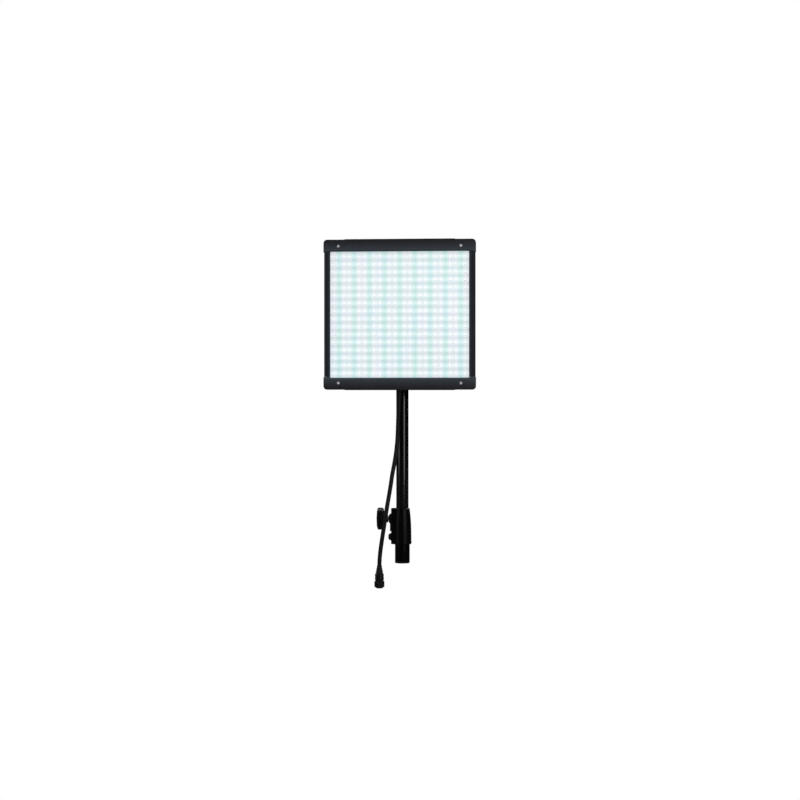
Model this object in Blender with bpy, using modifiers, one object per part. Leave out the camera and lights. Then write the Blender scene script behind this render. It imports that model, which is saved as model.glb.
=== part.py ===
"""A slim square LED panel light on the top of a stand column.

The panel hangs on a tilt bracket behind its centre. The bracket's receiver turns on the stud of
a sliding tube, and a collar with a locking knob grips that tube above the lower one. A short
lead hangs from the rear hub and ends in a plug-in connector.

Units are metres. Z is up the column, the panel faces -Y, and the origin is the middle of the
column's lower end face.
"""

import math

import bmesh
import bpy
from mathutils import Matrix, Vector

# ---- driving dimensions ---------------------------------------------------------------------

GAP = 0.0003  # air between pieces that touch

# panel
PANEL_WIDTH = 0.300
PANEL_HEIGHT = 0.2955
PANEL_DEPTH = 0.018
PANEL_Z = 0.4965  # height of the panel's centre, where it also tilts
PANEL_FRONT = -0.085
PANEL_BACK = PANEL_FRONT + PANEL_DEPTH
WINDOW_WIDTH = 0.2730
WINDOW_HEIGHT = 0.2482
BAR_CORNER = 0.0072  # radius of the end bars' outer corners
BAR_PROUD = 0.0008  # how far the middle of an end bar stands out
BAR_PROUD_HALF = 0.107
BAR_LAP = 0.0012  # how far the end bars run over the side rails
FACE = 0.005  # thickness of the bars and rails in front of the stack
RAIL_INSET = 0.001
RAIL_WALL = 0.0048
TONGUE_REACH = 0.1294  # half the length of the tongues that slide into the bars
STACK_HALF_X = 0.1437
PLATE_HALF_Z = 0.1392  # heat spreader and rear cover
BOARD_HALF_Z = 0.131  # LED board, spacer and diffuser
FRONT_SCREW_X = 0.1207
FRONT_SCREW_Z = 0.1347
COVER_SCREW_X = 0.132
COVER_SCREW_Z = 0.132
FRONT_SCREW_HEAD = 0.0029
FRONT_SCREW_SINK = 0.0016  # how deep the front screws' heads rest in the bars
SCREW_BORE = 0.0018

# rear hub and tilt bracket
HUB_HALF = 0.052
HUB_DEPTH = 0.0157
HUB_WALL = 0.002
HUB_FRONT = PANEL_BACK + GAP
HUB_BACK = HUB_FRONT + HUB_DEPTH
BRACKET_HALF_X = 0.030
BRACKET_HALF_Z = 0.032
BRACKET_PLATE = 0.0045
MOUNT_SCREW_X = 0.023
MOUNT_SCREW_Z = 0.024
EAR_INNER = 0.0107
EAR_OUTER = 0.0182
EAR_RADIUS = 0.015
TONGUE_HALF = 0.0087
TILT_BOLT = 0.004
LEVER_REACH = 0.040

# receiver and its stud
RECEIVER_RADIUS = 0.017
RECEIVER_BOTTOM = 0.408
RECEIVER_TOP = 0.462
STUD_RADIUS = 0.008
STUD_TOP = 0.456
RECEIVER_LOCK_Z = 0.434

# column
UPPER_RADIUS = 0.0124
UPPER_WALL = 0.0015
UPPER_BOTTOM = 0.0166
UPPER_TOP = 0.402
LOWER_RADIUS = 0.0149
LOWER_WALL = 0.0019
COLLAR_BOTTOM = 0.0376
COLLAR_TOP = 0.1105
COLLAR_STEP = 0.062  # the lower tube ends under this height
COLLAR_TOP_RADIUS = 0.0146
COLLAR_BOTTOM_RADIUS = 0.0182
SLEEVE_RADIUS = 0.0138
SLEEVE_LENGTH = 0.018
BLOCK_FACE = -0.0223
BLOCK_HALF_Y = 0.011
BLOCK_PLATE = 0.0018
LOCK_Z = 0.0890
CLAMP_BOLT_Z = 0.0525
KNOB_RADIUS = 0.0223
SCREW_RADIUS = 0.004  # locking screws
SCREW_HOLE = 0.0044

# lead
CORD_RADIUS = 0.0042
CORD_Y = HUB_FRONT + HUB_DEPTH / 2
CORD_TOP = 0.4117
CORD_ROUTE = [  # from the strain relief down to the connector's boot
    (0.0000, CORD_Y, CORD_TOP),
    (0.0000, CORD_Y, 0.3970),
    (-0.0004, -0.0580, 0.3800),
    (-0.0013, -0.0556, 0.3600),
    (-0.0025, -0.0528, 0.3400),
    (-0.0036, -0.0506, 0.3200),
    (-0.0045, -0.0490, 0.3000),
    (-0.0053, -0.0480, 0.2800),
    (-0.0060, -0.0476, 0.2600),
    (-0.0074, -0.0477, 0.2400),
    (-0.0097, -0.0483, 0.2200),
    (-0.0130, -0.0493, 0.2000),
    (-0.0166, -0.0506, 0.1800),
    (-0.0195, -0.0520, 0.1600),
    (-0.0227, -0.0533, 0.1400),
    (-0.0261, -0.0544, 0.1200),
    (-0.0292, -0.0552, 0.1000),
    (-0.0322, -0.0557, 0.0800),
    (-0.0353, -0.0560, 0.0600),
    (-0.0383, -0.0562, 0.0400),
    (-0.0404, -0.0563, 0.0230),
    (-0.0415, -0.0564, 0.0080),
    (-0.0417, -0.0564, 0.0005),
]
CORD_STEP = 0.0085  # spacing of the tube's own points

TILT_AXIS = Vector((0, 0, PANEL_Z))


# ---- scene ----------------------------------------------------------------------------------

for old in list(bpy.data.objects):
    bpy.data.objects.remove(old, do_unlink=True)

PART = bpy.data.collections.new("led_panel_light")
CUTTERS = bpy.data.collections.new("cutters")
for new in (PART, CUTTERS):
    bpy.context.scene.collection.children.link(new)


def material(name, colour, roughness, metallic=0.0):
    m = bpy.data.materials.new(name)
    m.use_nodes = True
    shader = m.node_tree.nodes["Principled BSDF"]
    shader.inputs["Base Color"].default_value = (*colour, 1)
    shader.inputs["Roughness"].default_value = roughness
    shader.inputs["Metallic"].default_value = metallic
    m.diffuse_color = (*colour, 1)
    return m


CHARCOAL = material("charcoal_paint", (0.028, 0.030, 0.036), 0.45)
RAIL = material("anodised_rail", (0.026, 0.028, 0.034), 0.38, 0.6)
DIFFUSER = material("clear_diffuser", (0.90, 0.95, 0.95), 0.20)
BOARD = material("white_board", (0.82, 0.86, 0.86), 0.5)
PLATE = material("raw_aluminium", (0.70, 0.71, 0.72), 0.35, 1.0)
COVER = material("rear_paint", (0.020, 0.021, 0.024), 0.5)
STEEL = material("zinc_steel", (0.62, 0.63, 0.64), 0.28, 1.0)
BLACK_STEEL = material("black_steel", (0.030, 0.030, 0.032), 0.40, 0.8)
CASTING = material("black_casting", (0.022, 0.022, 0.024), 0.42, 0.3)
TUBE = material("gloss_black_tube", (0.010, 0.010, 0.011), 0.16, 0.2)
NYLON = material("black_nylon", (0.018, 0.018, 0.019), 0.55)
KNOB = material("knob_plastic", (0.030, 0.030, 0.031), 0.50)
BRASS = material("brass_pad", (0.72, 0.52, 0.22), 0.30, 1.0)
CIRCUIT = material("green_circuit", (0.02, 0.13, 0.06), 0.45)
RUBBER = material("cord_rubber", (0.012, 0.012, 0.013), 0.60)


def body(name, at=(0, 0, 0), parent=None):
    """An empty on a joint's axis. The pieces that move with it are its children."""
    e = bpy.data.objects.new(name, None)
    e.empty_display_size = 0.02
    PART.objects.link(e)
    e.location = Vector(at)
    if parent:
        e.parent = parent
        e.location = Vector(at) - parent.matrix_basis.translation - offset(parent)
    return e


def offset(e):
    """The world position of an empty's parents."""
    total = Vector()
    while e.parent:
        e = e.parent
        total += e.location
    return total


COLUMN = body("column_frame")
RISER = body("riser_frame", parent=COLUMN)
RECEIVER = body("pan_axis", parent=RISER)
PANEL = body("tilt_axis", at=TILT_AXIS, parent=RECEIVER)


# ---- shapes ---------------------------------------------------------------------------------


def solid(name, bm, mat, parent=None, smooth=30, collection=PART):
    """Turns a bmesh in world coordinates into an object under its body's empty."""
    bmesh.ops.recalc_face_normals(bm, faces=bm.faces)
    mesh = bpy.data.meshes.new(name)
    bm.to_mesh(mesh)
    bm.free()
    o = bpy.data.objects.new(name, mesh)
    collection.objects.link(o)
    if mat:
        mesh.materials.append(mat)
    if parent:
        at = parent.location + offset(parent)
        mesh.transform(Matrix.Translation(-at))
        o.parent = parent
    if smooth:
        mesh.shade_smooth()
        mesh.set_sharp_from_angle(angle=math.radians(smooth))
    return o


def box_mesh(low, high):
    bm = bmesh.new()
    bmesh.ops.create_cube(bm, size=1)
    for v in bm.verts:
        for k in range(3):
            v.co[k] = high[k] if v.co[k] > 0 else low[k]
    return bm


def box(name, low, high, mat, parent):
    return solid(name, box_mesh(low, high), mat, parent)


def arc(centre, radius, first, last, count):
    """Points along an arc, from the angle first to last in degrees."""
    turns = [math.radians(first + (last - first) * i / count) for i in range(count + 1)]
    return [(centre[0] + radius * math.cos(t), centre[1] + radius * math.sin(t)) for t in turns]


def extruded_mesh(points, axis, low, high):
    """A flat outline pushed along an axis. Its points are in the order of the other two axes."""
    def at(p, h):
        return {"X": (h, p[0], p[1]), "Y": (p[0], h, p[1]), "Z": (p[0], p[1], h)}[axis]

    bm = bmesh.new()
    first = [bm.verts.new(at(p, low)) for p in points]
    last = [bm.verts.new(at(p, high)) for p in points]
    bm.faces.new(first)
    bm.faces.new(last)
    for i in range(len(points)):
        j = (i + 1) % len(points)
        bm.faces.new((first[i], first[j], last[j], last[i]))
    return bm


def turned_mesh(profile, axis="Z", centre=(0, 0, 0), steps=32, lobes=None):
    """A closed profile of (radius, height) points turned about an axis.

    lobes(radius, angle) may change a point's radius round the turn.
    """
    bm = bmesh.new()
    rings = []
    for radius, height in profile:
        count = 1 if radius == 0 else steps
        ring = []
        for i in range(count):
            a = 2 * math.pi * i / steps
            r = lobes(radius, a) if lobes and radius else radius
            u, v = r * math.cos(a), r * math.sin(a)
            p = {"X": (height, u, v), "Y": (v, height, u), "Z": (u, v, height)}[axis]
            ring.append(bm.verts.new(Vector(p) + Vector(centre)))
        rings.append(ring)
    for k in range(len(rings)):
        a, b = rings[k], rings[(k + 1) % len(rings)]
        if len(a) == 1 and len(b) == 1:
            continue
        for i in range(steps):
            j = (i + 1) % steps
            corners = [a[i % len(a)], a[j % len(a)], b[j % len(b)], b[i % len(b)]]
            bm.faces.new(list(dict.fromkeys(corners)))
    return bm


def turned(name, profile, mat, parent, axis="Z", centre=(0, 0, 0), steps=32, lobes=None):
    return solid(name, turned_mesh(profile, axis, centre, steps, lobes), mat, parent)


def rod_mesh(radius, low, high, axis, centre, steps=24):
    return turned_mesh([(0, low), (radius, low), (radius, high), (0, high)], axis, centre, steps)


def bevel(o, width, segments=2, angle=40):
    m = o.modifiers.new("edges", "BEVEL")
    m.width = width
    m.segments = segments
    m.limit_method = "ANGLE"
    m.angle_limit = math.radians(angle)
    return o


def cutter(name, bm):
    """A hidden shape that is cut from a piece or joined to it."""
    tool = solid(name, bm, None, smooth=0, collection=CUTTERS)
    tool.hide_render = True
    tool.display_type = "WIRE"
    return tool


def combine(o, tool, operation):
    if isinstance(tool, bmesh.types.BMesh):
        tool = cutter(o.name + "_tool", tool)
    m = o.modifiers.new(operation.lower(), "BOOLEAN")
    m.operation = operation
    m.solver = "EXACT"
    m.object = tool
    return o


def cut(o, tool):
    return combine(o, tool, "DIFFERENCE")


def join(o, tool):
    return combine(o, tool, "UNION")


# ---- panel ----------------------------------------------------------------------------------


def end_bar(name, side):
    """A cap along the panel's top (side 1) or bottom (side -1), open behind for the stack."""
    half, outer, inner = PANEL_WIDTH / 2, PANEL_HEIGHT / 2, WINDOW_HEIGHT / 2
    window = WINDOW_WIDTH / 2
    r = BAR_CORNER
    outline = [
        (-half, inner - BAR_LAP),
        (-window, inner - BAR_LAP),
        (-window + BAR_LAP, inner),
        (window - BAR_LAP, inner),
        (window, inner - BAR_LAP),
        (half, inner - BAR_LAP),
        *arc((half - r, outer - r), r, 0, 90, 6),
        (BAR_PROUD_HALF + 0.003, outer),
        (BAR_PROUD_HALF, outer + BAR_PROUD),
        (-BAR_PROUD_HALF, outer + BAR_PROUD),
        (-BAR_PROUD_HALF - 0.003, outer),
        *arc((r - half, outer - r), r, 90, 180, 6),
    ]
    points = [(x, PANEL_Z + side * z) for x, z in outline]
    blank = extruded_mesh(points, "Y", PANEL_FRONT, PANEL_BACK)
    rim = [e for e in blank.edges if all(v.co.y == e.verts[0].co.y < PANEL_BACK - 0.001 for v in e.verts)]
    bmesh.ops.bevel(blank, geom=rim, offset=0.0008, segments=2, profile=0.5, affect="EDGES")
    bar = solid(name, blank, CHARCOAL, PANEL)

    def pocket(x0, x1, y0, y1, top):
        z = sorted((PANEL_Z + side * 0.110, PANEL_Z + side * top))
        cut(bar, box_mesh((x0, y0, z[0]), (x1, y1, z[1])))

    pocket(-0.144, 0.144, PANEL_FRONT + FACE, PANEL_BACK + 0.005, PLATE_HALF_Z + GAP)
    for s in (-1, 1):
        x = sorted((s * 0.1438, s * 0.1483))
        pocket(*x, PANEL_FRONT + 0.006, PANEL_BACK - 0.0011, TONGUE_REACH + 0.0004)
        at = (s * FRONT_SCREW_X, PANEL_FRONT, PANEL_Z + side * FRONT_SCREW_Z)
        head, ledge = FRONT_SCREW_HEAD + GAP, FRONT_SCREW_SINK + GAP
        seat = [(0, -0.01), (head, -0.01), (head, ledge), (SCREW_BORE, ledge), (SCREW_BORE, 0.01), (0, 0.01)]
        cut(bar, turned_mesh(seat, "Y", at, 24))


def side_rail(name, side):
    """An L-section down one side, with a tongue at each end that fits into the bars."""
    inner, outer = WINDOW_WIDTH / 2 + 0.0002, PANEL_WIDTH / 2 - RAIL_INSET
    front, wall = PANEL_FRONT + 0.0004, outer - RAIL_WALL
    section = [
        (inner, front),
        (outer - 0.0042, front),
        (outer - 0.0014, front + 0.0016),
        (outer, front + 0.0040),
        (outer, PANEL_BACK - GAP),
        (wall, PANEL_BACK - GAP),
        (wall, PANEL_FRONT + FACE),
        (inner, PANEL_FRONT + FACE),
    ]
    reach = WINDOW_HEIGHT / 2 - BAR_LAP - GAP
    points = [(side * x, y) for x, y in section]
    rail = solid(name, extruded_mesh(points, "Z", PANEL_Z - reach, PANEL_Z + reach), RAIL, PANEL)
    x = sorted((side * 0.1445, side * 0.1479))
    low = (x[0], PANEL_FRONT + 0.0065, PANEL_Z - TONGUE_REACH)
    high = (x[1], PANEL_BACK - 0.0016, PANEL_Z + TONGUE_REACH)
    join(rail, box_mesh(low, high))


def sheet(name, half_x, half_z, front, thickness, mat):
    """A flat piece of the stack, measured from the panel's front."""
    y = PANEL_FRONT + front
    return box(name, (-half_x, y, PANEL_Z - half_z), (half_x, y + thickness, PANEL_Z + half_z), mat, PANEL)


def stack():
    """Diffuser, spacer, LED board, heat spreader and rear cover, from front to back."""
    board_x = STACK_HALF_X - GAP
    sheet("front_diffuser", board_x, BOARD_HALF_Z, 0.0053, 0.0015, DIFFUSER)
    spacer = sheet("spacer_frame", board_x, BOARD_HALF_Z, 0.0071, 0.0035, BOARD)
    cut(spacer, box_mesh((-0.1395, -0.1, PANEL_Z - 0.1265), (0.1395, 0, PANEL_Z + 0.1265)))
    sheet("led_board", board_x, BOARD_HALF_Z, 0.0109, 0.0014, BOARD)
    spreader = sheet("heat_spreader", STACK_HALF_X, PLATE_HALF_Z, 0.0126, 0.0020, PLATE)
    cover = sheet("rear_cover", STACK_HALF_X, PLATE_HALF_Z, 0.0165, 0.0015, COVER)
    for x, z in corners(FRONT_SCREW_X, FRONT_SCREW_Z):
        cut(spreader, rod_mesh(SCREW_BORE, -0.1, -0.05, "Y", (x, 0, z), 12))
    for x, z in cover_screw_places():
        for plate in (spreader, cover):
            cut(plate, rod_mesh(SCREW_BORE, -0.1, -0.05, "Y", (x, 0, z), 12))
    for plate in (spreader, cover):
        cut(plate, rod_mesh(0.008, -0.1, -0.05, "Y", (0, 0, PANEL_Z), 24))
    for i in range(12):
        x = (0.068 + 0.010 * (i % 6)) * (1 if i < 6 else -1)
        top = arc((x, PANEL_Z + 0.032), 0.0015, 0, 180, 5)
        bottom = arc((x, PANEL_Z - 0.032), 0.0015, 180, 360, 5)
        cut(cover, extruded_mesh(top + bottom, "Y", PANEL_BACK - 0.0025, PANEL_BACK + 0.002))


def corners(x, z):
    """Four places round the panel's centre, the upper pair first."""
    return [(sx * x, PANEL_Z + sz * z) for sz in (1, -1) for sx in (-1, 1)]


def cover_screw_places():
    columns = (-COVER_SCREW_X, 0, COVER_SCREW_X)
    return [(x, PANEL_Z + z) for z in (COVER_SCREW_Z, -COVER_SCREW_Z) for x in columns]


def pan_screw(name, head, shank, length, height, at, towards, mat, steps=14):
    """A screw with a low domed head. Its shank points along Y, towards 1 or -1, from at."""
    profile = [
        (0, -height),
        (head * 0.70, -height * 0.85),
        (head, -height * 0.25),
        (head, 0),
        (shank, 0),
        (shank, length),
        (0, length),
    ]
    return turned(name, [(r, towards * h) for r, h in profile], mat, PANEL, "Y", at, steps)


def panel_screws():
    for n, (x, z) in enumerate(corners(FRONT_SCREW_X, FRONT_SCREW_Z), 1):
        at = (x, PANEL_FRONT + FRONT_SCREW_SINK, z)
        pan_screw(f"front_screw_{n}", FRONT_SCREW_HEAD, 0.0015, 0.0140, 0.0012, at, 1, STEEL)
    for n, (x, z) in enumerate(cover_screw_places(), 1):
        at = (x, PANEL_BACK + GAP, z)
        pan_screw(f"cover_screw_{n}", 0.0028, 0.0015, 0.0050, 0.0014, at, -1, BLACK_STEEL)
    for n, (x, z) in enumerate(corners(MOUNT_SCREW_X, MOUNT_SCREW_Z), 1):
        at = (x, HUB_BACK + BRACKET_PLATE + 2 * GAP, z)
        pan_screw(f"mount_screw_{n}", 0.0040, 0.0020, 0.0160, 0.0026, at, -1, BLACK_STEEL)


# ---- rear hub and bracket -------------------------------------------------------------------


def hub():
    """The housing on the panel's back, open towards the panel, with a post for each screw."""
    low = (-HUB_HALF, HUB_FRONT, PANEL_Z - HUB_HALF)
    high = (HUB_HALF, HUB_BACK, PANEL_Z + HUB_HALF)
    shell = solid("hub_housing", box_mesh(low, high), COVER, PANEL)
    bevel(shell, 0.003, 3)
    inside = HUB_HALF - HUB_WALL
    cut(shell, box_mesh((-inside, -0.1, PANEL_Z - inside), (inside, HUB_BACK - HUB_WALL, PANEL_Z + inside)))
    for x, z in corners(MOUNT_SCREW_X, MOUNT_SCREW_Z):
        join(shell, rod_mesh(0.0044, HUB_FRONT, HUB_BACK - 0.001, "Y", (x, 0, z), 20))
        cut(shell, rod_mesh(0.0023, HUB_BACK - 0.0135, HUB_BACK + 0.01, "Y", (x, 0, z), 12))
    cut(shell, rod_mesh(0.0053, -0.06, -0.045, "Z", (0, CORD_Y, PANEL_Z), 20))
    box("driver_board", (-0.040, HUB_FRONT + 0.0040, PANEL_Z - 0.018),
        (0.040, HUB_FRONT + 0.0056, PANEL_Z + 0.018), CIRCUIT, PANEL)


def tilt_bracket():
    """A plate with two ears that hold the tilt bolt."""
    front = HUB_BACK + GAP
    low = (-BRACKET_HALF_X, front, PANEL_Z - BRACKET_HALF_Z)
    high = (BRACKET_HALF_X, front + BRACKET_PLATE, PANEL_Z + BRACKET_HALF_Z)
    bracket = solid("mount_bracket", box_mesh(low, high), CASTING, PANEL)
    bevel(bracket, 0.0015, 2)
    round_end = arc((0, PANEL_Z), EAR_RADIUS, -108, 108, 18)
    ear = [(front + 0.002, PANEL_Z - 0.025), *round_end, (front + 0.002, PANEL_Z + 0.025)]
    for x in ((-EAR_OUTER, -EAR_INNER), (EAR_INNER, EAR_OUTER)):
        join(bracket, extruded_mesh(ear, "X", *x))
    for x, z in corners(MOUNT_SCREW_X, MOUNT_SCREW_Z):
        cut(bracket, rod_mesh(0.0023, -0.06, -0.03, "Y", (x, 0, z), 12))
    cut(bracket, rod_mesh(TILT_BOLT + 0.0004, -0.03, 0.03, "X", TILT_AXIS, 20))

    for n, s in ((1, -1), (2, 1)):
        low, high = TONGUE_HALF + GAP, EAR_INNER - GAP
        ring = [(TILT_BOLT + 0.0004, low), (0.013, low), (0.013, high), (TILT_BOLT + 0.0004, high)]
        turned(f"friction_washer_{n}", [(r, s * h) for r, h in ring], NYLON, PANEL, "X", TILT_AXIS, 28)

    head = EAR_OUTER + GAP
    bolt = [(0, -head - 0.0055), (0.0062, -head - 0.0055), (0.0072, -head - 0.0045), (0.0072, -head),
            (TILT_BOLT, -head), (TILT_BOLT, 0.033), (0, 0.033)]
    turned("tilt_bolt", bolt, BLACK_STEEL, PANEL, "X", TILT_AXIS, 24)


def tilt_lever():
    """The clamping lever on the bolt's threaded end."""
    lever = body("lever_axis", at=TILT_AXIS, parent=PANEL)
    start = EAR_OUTER + GAP
    hub_profile = [(TILT_BOLT + 0.0004, start), (0.0085, start), (0.0095, start + 0.003), (0.0095, 0.034),
                   (0.0075, 0.036), (0, 0.036), (0, 0.0334), (TILT_BOLT + 0.0004, 0.0334)]
    o = turned("tilt_lever", hub_profile, KNOB, lever, "X", TILT_AXIS, 28)
    lean = math.radians(55)
    tip = (LEVER_REACH * math.cos(lean), PANEL_Z + LEVER_REACH * math.sin(lean))
    arm = arc((0, PANEL_Z), 0.0075, 145, 325, 10) + arc(tip, 0.0050, -35, 145, 8)
    core = rod_mesh(TILT_BOLT + 0.0012, 0.02, 0.0339, "X", TILT_AXIS, 20)
    join(o, cut(cutter("lever_blade", extruded_mesh(arm, "X", 0.0275, 0.0335)), core))


# ---- locking screws -------------------------------------------------------------------------


def lobed(depth, count, from_radius):
    """Shallow finger grips round a knob, on the part of it wider than from_radius."""
    def radius(r, angle):
        if r < from_radius:
            return r
        return r - depth * (0.5 - 0.5 * math.cos(count * angle)) ** 2
    return radius


def locking_screw(prefix, axis, sign, centre, tip, neck, size, parent):
    """A knob on a threaded stud that drives a brass pad.

    tip is how far from the centre the pad ends, neck where the knob's hub starts. size is the
    knob's (radius, hub length, disc thickness). The pad slides; the knob turns on it.
    """
    slide = body(prefix + "_travel", at=centre, parent=parent)
    turn = body(prefix + "_turn", at=centre, parent=slide)
    radius, hub_length, disc = size
    pad_back = tip + 0.0012
    stud_end = neck + hub_length + disc * 0.35
    pad = [(0, tip), (0.0038, tip), (0.0038, pad_back), (0, pad_back)]
    turned(prefix + "_pad", [(r, sign * h) for r, h in pad], BRASS, slide, axis, centre, 20)
    stud = [(0, pad_back + GAP), (SCREW_RADIUS - 0.0006, pad_back + GAP), (SCREW_RADIUS, pad_back + 0.001),
            (SCREW_RADIUS, stud_end), (0, stud_end)]
    turned(prefix + "_stud", [(r, sign * h) for r, h in stud], STEEL, turn, axis, centre, 20)
    face = neck + hub_length
    knob = [
        (0, stud_end + GAP),
        (SCREW_RADIUS + GAP, stud_end + GAP),
        (SCREW_RADIUS + GAP, neck),
        (radius * 0.32, neck),
        (radius * 0.36, neck + hub_length * 0.35),
        (radius * 0.52, face - 0.0002),
        (radius * 0.90, face + 0.0002),
        (radius, face + disc * 0.16),
        (radius, face + disc * 0.78),
        (radius * 0.90, face + disc * 0.94),
        (radius * 0.45, face + disc * 1.03),
        (0, face + disc * 1.05),
    ]
    grips = lobed(radius * 0.07, 8, radius * 0.8)
    turned(prefix + "_knob", [(r, sign * h) for r, h in knob], KNOB, turn, axis, centre, 40, grips)


# ---- receiver -------------------------------------------------------------------------------


def receiver():
    """The socket that turns on the stud, with the tongue that the bracket's ears hold."""
    r = RECEIVER_RADIUS
    profile = [
        (0, RECEIVER_BOTTOM),
        (r - 0.0015, RECEIVER_BOTTOM),
        (r, RECEIVER_BOTTOM + 0.0015),
        (r, RECEIVER_TOP - 0.006),
        (r - 0.005, RECEIVER_TOP),
        (0, RECEIVER_TOP),
    ]
    o = turned("receiver_body", profile, CASTING, RECEIVER, steps=40)
    tongue = arc((0, PANEL_Z), 0.014, 0, 180, 14)
    tongue = [(0.0115, RECEIVER_TOP - 0.004), *tongue, (-0.0115, RECEIVER_TOP - 0.004)]
    join(o, extruded_mesh(tongue, "X", -TONGUE_HALF, TONGUE_HALF))
    join(o, rod_mesh(0.0085, 0.010, 0.023, "Y", (0, 0, RECEIVER_LOCK_Z), 28))
    cut(o, rod_mesh(STUD_RADIUS + GAP, RECEIVER_BOTTOM - 0.01, STUD_TOP + GAP, "Z", (0, 0, 0), 32))
    cut(o, rod_mesh(SCREW_HOLE, 0, 0.04, "Y", (0, 0, RECEIVER_LOCK_Z), 20))
    cut(o, rod_mesh(TILT_BOLT + 0.0004, -0.03, 0.03, "X", TILT_AXIS, 20))
    locking_screw("receiver", "Y", 1, (0, 0, RECEIVER_LOCK_Z), 0.0071, 0.0240,
                  (0.0145, 0.007, 0.010), RECEIVER)


# ---- column ---------------------------------------------------------------------------------


def tube(name, radius, wall, bottom, top, mat, parent, steps=40):
    c = 0.0004
    profile = [(radius - wall, bottom), (radius - c, bottom), (radius, bottom + c),
               (radius, top - c), (radius - c, top), (radius - wall, top)]
    return turned(name, profile, mat, parent, steps=steps)


def riser():
    tube("upper_tube", UPPER_RADIUS, UPPER_WALL, UPPER_BOTTOM, UPPER_TOP, TUBE, RISER, 40)
    bore = UPPER_RADIUS - UPPER_WALL - GAP
    foot, shoulder = UPPER_BOTTOM - 0.0043, UPPER_BOTTOM - GAP
    slip = LOWER_RADIUS - LOWER_WALL - 0.00015
    bush = [(0, foot), (slip - 0.0005, foot), (slip, foot + 0.0005), (slip, shoulder), (bore, shoulder),
            (bore, UPPER_BOTTOM + 0.012), (0, UPPER_BOTTOM + 0.012)]
    turned("tube_end_bush", bush, NYLON, RISER, steps=32)
    waist = 0.0068
    stud = [
        (0, UPPER_TOP - 0.030),
        (bore, UPPER_TOP - 0.030),
        (bore, UPPER_TOP + GAP),
        (UPPER_RADIUS, UPPER_TOP + GAP),
        (UPPER_RADIUS, UPPER_TOP + 0.0030),
        (UPPER_RADIUS - 0.001, UPPER_TOP + 0.0040),
        (STUD_RADIUS, UPPER_TOP + 0.0040),
        (STUD_RADIUS, RECEIVER_LOCK_Z - 0.0065),
        (waist, RECEIVER_LOCK_Z - 0.0050),
        (waist, RECEIVER_LOCK_Z + 0.0050),
        (STUD_RADIUS, RECEIVER_LOCK_Z + 0.0065),
        (STUD_RADIUS, STUD_TOP - 0.0015),
        (STUD_RADIUS - 0.0015, STUD_TOP),
        (0, STUD_TOP),
    ]
    turned("column_stud", stud, STEEL, RISER, steps=32)


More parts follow.
